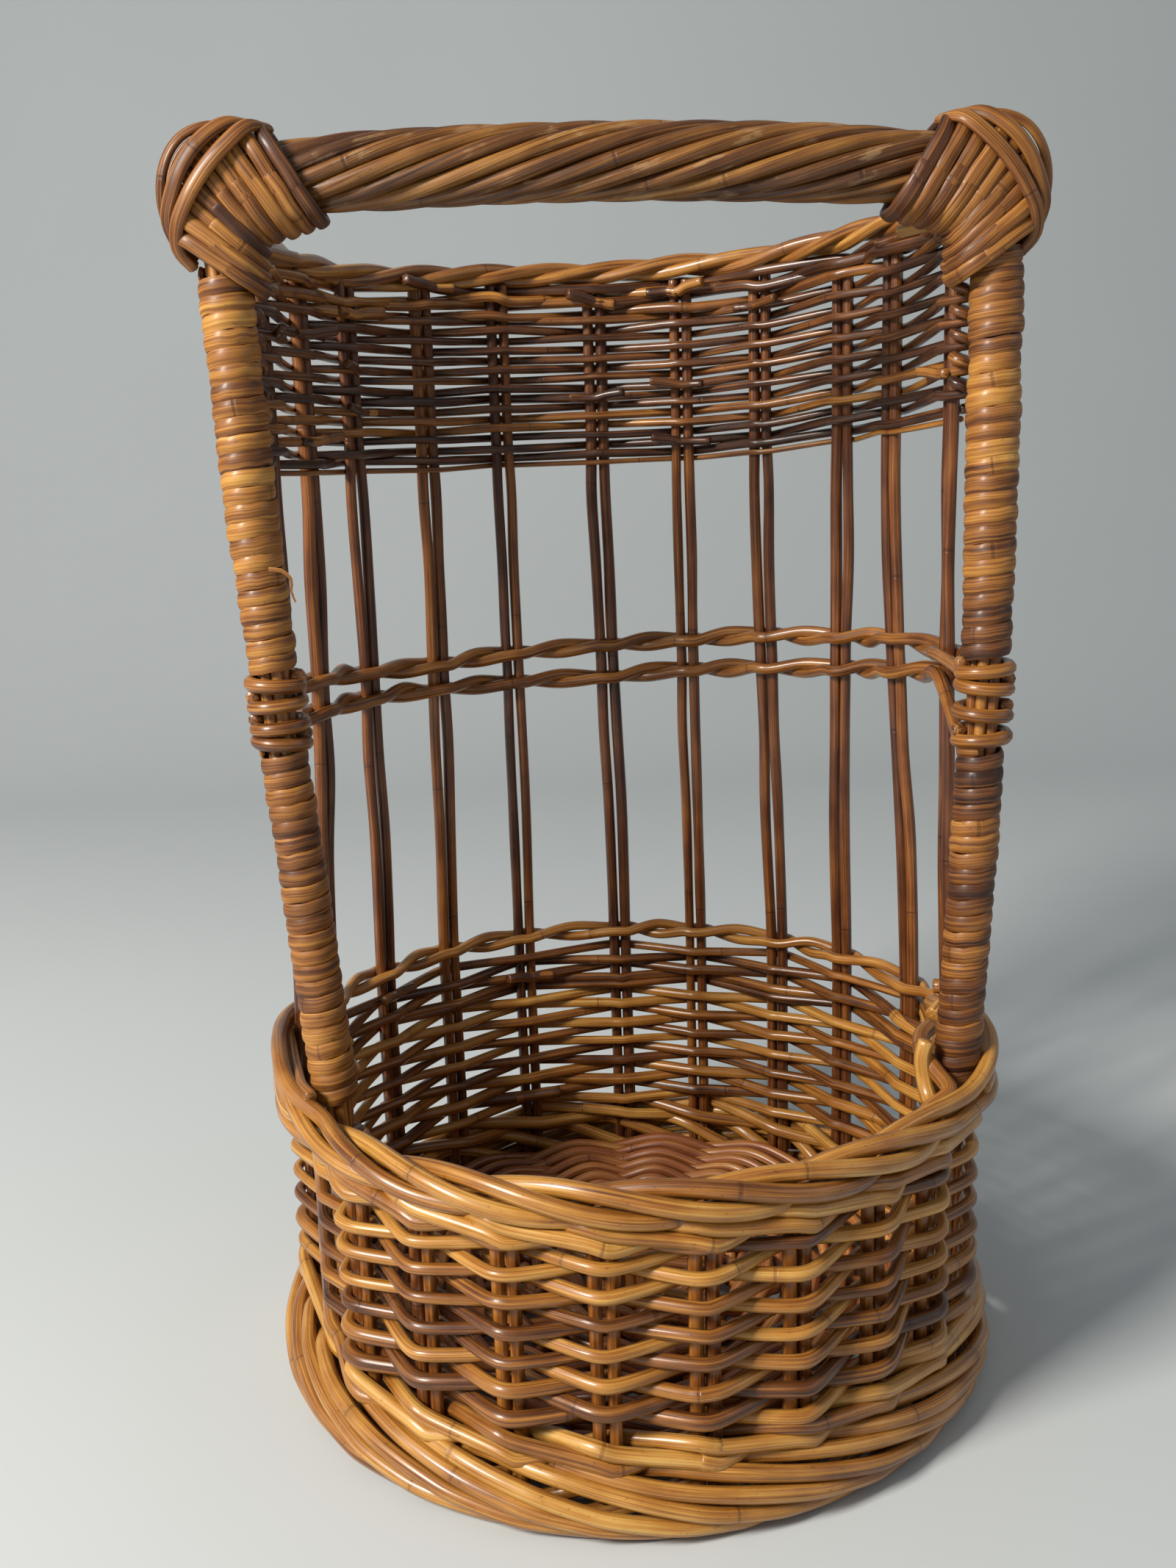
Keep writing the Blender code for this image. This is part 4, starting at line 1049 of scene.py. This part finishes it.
chance = np.random.default_rng(97)
places = uprights(0.50, front=False)
for end in (0, -1):
    angle, circle, _, half = places[end]
    places[end] = (angle, circle, BOUND_HOLD, half)
regular = to_and_fro(places, band_height, BAND_ROWS, BAND_CANE, behind_upright)
loose = to_and_fro(places, lambda angle, row: band_height(angle, row + BAND_ROWS), LOOSE_ROWS,
                   LOOSE_HOLD, behind_upright, first_side=-1, loose=LOOSE_WAVE)
# The band rows have lower tints than the wall rows: partly their darker varnish, and partly painted shade
# under the handle.
band_canes = joined_canes(regular, lambda angle: BAND_CANE, (0.02, 0.52), BAND_STROKES)
band_canes += joined_canes(loose, lambda angle: LOOSE_CANE, (0.12, 0.55), LOOSE_STROKES)
edge_points = []
for number, (angle, circle, _, _) in enumerate(places):
    edge_points += stroke((angle, circle, BAND_EDGE_HOLD, PAIR_HALF), level_on(BAND_EDGE, angle),
                          1 if number % 2 else -1, BAND_EDGE_ROD, loose=0.0002)
band_canes.append(cane(edge_points[4:-4], BAND_EDGE_ROD, 0.45))
woven("band_rows", band_canes, WEAVER_FINISH, ["band_weaver_1", "band_weaver_2"], sides=8)


# Band border
# Three canes are roped along the top of the band, over the ends of the stakes. At both ends they run to the
# knots and are tied in there. Thick cut ends of other canes stick out beside them.
BORDER_STROKE = 0.115
BORDER_IN = 0.0005
BORDER_WIDTH = 0.0048
BORDER_HEIGHT = 0.00322
BORDER_STEP_UP = 0.003
BORDER_RIGHT = [(0.1500, -0.0330, 0.5610), (0.1580, -0.018, 0.5595)]
BORDER_LEFT = [(-0.1585, -0.018, 0.5540), (-0.1500, -0.0330, 0.5600)]
CUT_ROD = 0.0031
CUT_ENDS = [[(0.1560, -0.0330, 0.5540), (0.1330, 0.0020, 0.5535)],
            [(0.1590, -0.0300, 0.5475), (0.1380, 0.0060, 0.5465)],
            [(-0.1560, -0.0260, 0.5430), (-0.1450, 0.0160, 0.5440)]]

border_canes = []
angles = np.arange(90, 269.5, 4.0)
circle = stake_circle(BACK_STAKE_TOP)
for strand in range(3):
    swings = 2 * math.pi * (strand / 3 + circle * np.radians(angles) / BORDER_STROKE)
    rope = at(circle - BORDER_IN + BORDER_WIDTH * np.cos(swings), angles,
              level_on(BORDER_LINE, angles) + BORDER_HEIGHT * np.sin(swings))
    shift = (0, 0, BORDER_STEP_UP * (strand - 1))
    points = np.vstack([np.add(BORDER_RIGHT, shift), rope, np.add(BORDER_LEFT, shift)])
    border_canes.append(cane(points, BORDER_ROD, chance.uniform(0.35, 0.60), uneven=0.06))
for ends in CUT_ENDS:
    border_canes.append(cane(np.linspace(*ends, 3), CUT_ROD, chance.uniform(0.5, 0.8)))
woven("band_border", border_canes, BORDER_FINISH, ["band_border_1", "band_border_2"])


# Handle
# Eleven long rods are laid round a core in a slow twist from post to post. The middle is bowed up a little.
# Hands have worn its varnish.
HANDLE_LEVEL = 0.5662
HANDLE_TILT = -0.0115
HANDLE_BOW = 0.007
HANDLE_BOW_HALF = 0.171
HANDLE_ROD = 0.00355
HANDLE_SPREAD = 0.0129
HANDLE_RODS = 11
HANDLE_TURNS = 0.92
HANDLE_HALF = 0.150
HANDLE_COVER = 0.127
HANDLE_START = 0.4
HANDLE_STEPS = 40
PINCH_FROM = 0.10
PINCH_TO = 0.86
CORE_HALF = 0.170
CORE_RADIUS = 0.011125

HANDLE_STOPS = [(0.0, (0.024, 0.007, 0.003)), (0.30, (0.095, 0.033, 0.007)), (0.60, (0.235, 0.095, 0.017)),
                (0.85, (0.390, 0.190, 0.038)), (1.0, (0.520, 0.310, 0.095))]
HANDLE_FINISH = cane_finish("handle_cane", HANDLE_STOPS, gloss=0.35, roughness=0.48, worn=True)


def handle_axis(reach):
    """The middle of the handle at a distance to the right of the basket's middle."""
    bow = HANDLE_BOW * (1 - (reach / HANDLE_BOW_HALF) ** 2)
    return np.stack(np.broadcast_arrays(reach, POST_BACK, HANDLE_LEVEL + HANDLE_TILT * reach + bow), axis=-1)


chance = np.random.default_rng(103)
reaches = np.linspace(-HANDLE_HALF, HANDLE_HALF, HANDLE_STEPS)
spread = HANDLE_SPREAD * np.interp(np.abs(reaches), (PINCH_FROM, HANDLE_HALF), (1.0, PINCH_TO))
handle_canes = []
for number in range(HANDLE_RODS):
    swings = HANDLE_START + 2 * math.pi * (number / HANDLE_RODS + HANDLE_TURNS * reaches / (2 * HANDLE_COVER))
    around = np.stack([reaches * 0, -np.cos(swings), np.sin(swings)], axis=1)
    handle_canes.append(cane(handle_axis(reaches) + around * spread[:, None], HANDLE_ROD,
                             chance.uniform(0.25, 0.60),
                             out=lambda line: (line - handle_axis(line[:, 0])) * (0, 1, 1)))
core = handle_axis(np.linspace(-CORE_HALF, CORE_HALF, 30))
handle_canes.append(cane(core, CORE_RADIUS, 0.3))
woven("handle", handle_canes, HANDLE_FINISH,
      ["handle_core"] + [f"handle_rod_{n}" for n in range(1, 9)], sides=12)


# Corner knots
# Where the handle meets each post, a flat cane is wound in broad turns that fan round the inner corner, from
# round the handle to round the post. Four last strands cross them on the outer edge and hold them.
KNOT_NEAR = [(0.1245, 0.5515), (0.1310, 0.5497), (0.1375, 0.5480), (0.1440, 0.5465), (0.1495, 0.5440),
             (0.1508, 0.5395), (0.1512, 0.5340), (0.1510, 0.5285), (0.1512, 0.5235)]
KNOT_FAR = [(0.1470, 0.5885), (0.1555, 0.5888), (0.1640, 0.5880), (0.1715, 0.5855), (0.1775, 0.5810),
            (0.1825, 0.5745), (0.1855, 0.5665), (0.1870, 0.5575), (0.1865, 0.5480)]
KNOT_DEPTHS = (0.0186, 0.0184, 0.0182, 0.0180, 0.0176, 0.0172, 0.0168, 0.0178, 0.0172)
KNOT_HALF = 0.0036
KNOT_THIN = 0.0019
KNOT_STEPS_A_TURN = 24
KNOT_STEPS = 26
KNOT_WAVE = 0.00015
KNOT_MIDDLE = (0.158, 0.555)
KNOT_DROPS = {-1: 0.0, 1: 0.0036}
CROSSINGS = [
    [(0.144, -0.004, 0.5895), (0.151, -0.0165, 0.588), (0.160, -0.0208, 0.580), (0.170, -0.0208, 0.570),
     (0.178, -0.020, 0.559), (0.1835, -0.017, 0.549), (0.185, -0.011, 0.540), (0.180, -0.006, 0.533)],
    [(0.150, 0.001, 0.5915), (0.160, -0.0125, 0.5905), (0.1705, -0.018, 0.583), (0.1785, -0.0182, 0.574),
     (0.1845, -0.0165, 0.563), (0.1885, -0.012, 0.552), (0.186, -0.006, 0.542), (0.180, -0.002, 0.535)],
    [(0.156, 0.008, 0.5905), (0.170, -0.0045, 0.5912), (0.1808, -0.007, 0.5865), (0.1876, -0.0075, 0.578),
     (0.1912, -0.0065, 0.5665), (0.1912, -0.004, 0.555), (0.187, -0.002, 0.544), (0.180, 0.000, 0.537)],
    [(0.156, 0.008, 0.5908), (0.171, 0.009, 0.5898), (0.1818, 0.009, 0.5845), (0.1884, 0.009, 0.5745),
     (0.1906, 0.008, 0.563), (0.188, 0.007, 0.550), (0.180, 0.005, 0.540)]]


def squared(wave, power):
    """A wave between -1 and 1 with flatter tops, so that a turn has rounded corners and straight sides."""
    return np.sign(wave) * np.abs(wave) ** power


chance = np.random.default_rng(109)
turn = 2 * math.pi * np.arange(KNOT_STEPS) / KNOT_STEPS_A_TURN - math.pi / 2
across = 0.5 - 0.5 * squared(np.cos(turn), 0.7)
deep = squared(np.sin(turn), 0.6)
for side, word in ((-1, "left"), (1, "right")):
    knots = []
    for near, far, depth in zip(KNOT_NEAR, KNOT_FAR, KNOT_DEPTHS):
        x, z = (near[n] * (1 - across) + far[n] * across for n in (0, 1))
        points = np.stack([side * x, POST_BACK + depth * deep, z - KNOT_DROPS[side]], axis=1)
        points += chance.normal(0, KNOT_WAVE, (KNOT_STEPS, 3))
        middle = (np.array(near) + far) / 2
        centre = np.array([side * middle[0], POST_BACK, middle[1] - KNOT_DROPS[side]])
        knots.append(cane(points, KNOT_HALF * chance.uniform(0.9, 1.08), chance.uniform(0.12, 0.50),
                          out=lambda line: line - centre))
    centre = np.array([side * KNOT_MIDDLE[0], POST_BACK, KNOT_MIDDLE[1] - KNOT_DROPS[side]])
    for crossing in CROSSINGS:
        points = [(side * x, POST_BACK + y, z - KNOT_DROPS[side]) for x, y, z in crossing]
        knots.append(cane(points, KNOT_HALF, chance.uniform(0.22, 0.52),
                          out=lambda line: (line - centre) * (0.5, 1.7, 0.5)))
    woven("knot_" + word, knots, BINDING_FINISH, ["corner_wrap_" + word], sides=12,
          across=KNOT_THIN / KNOT_HALF)
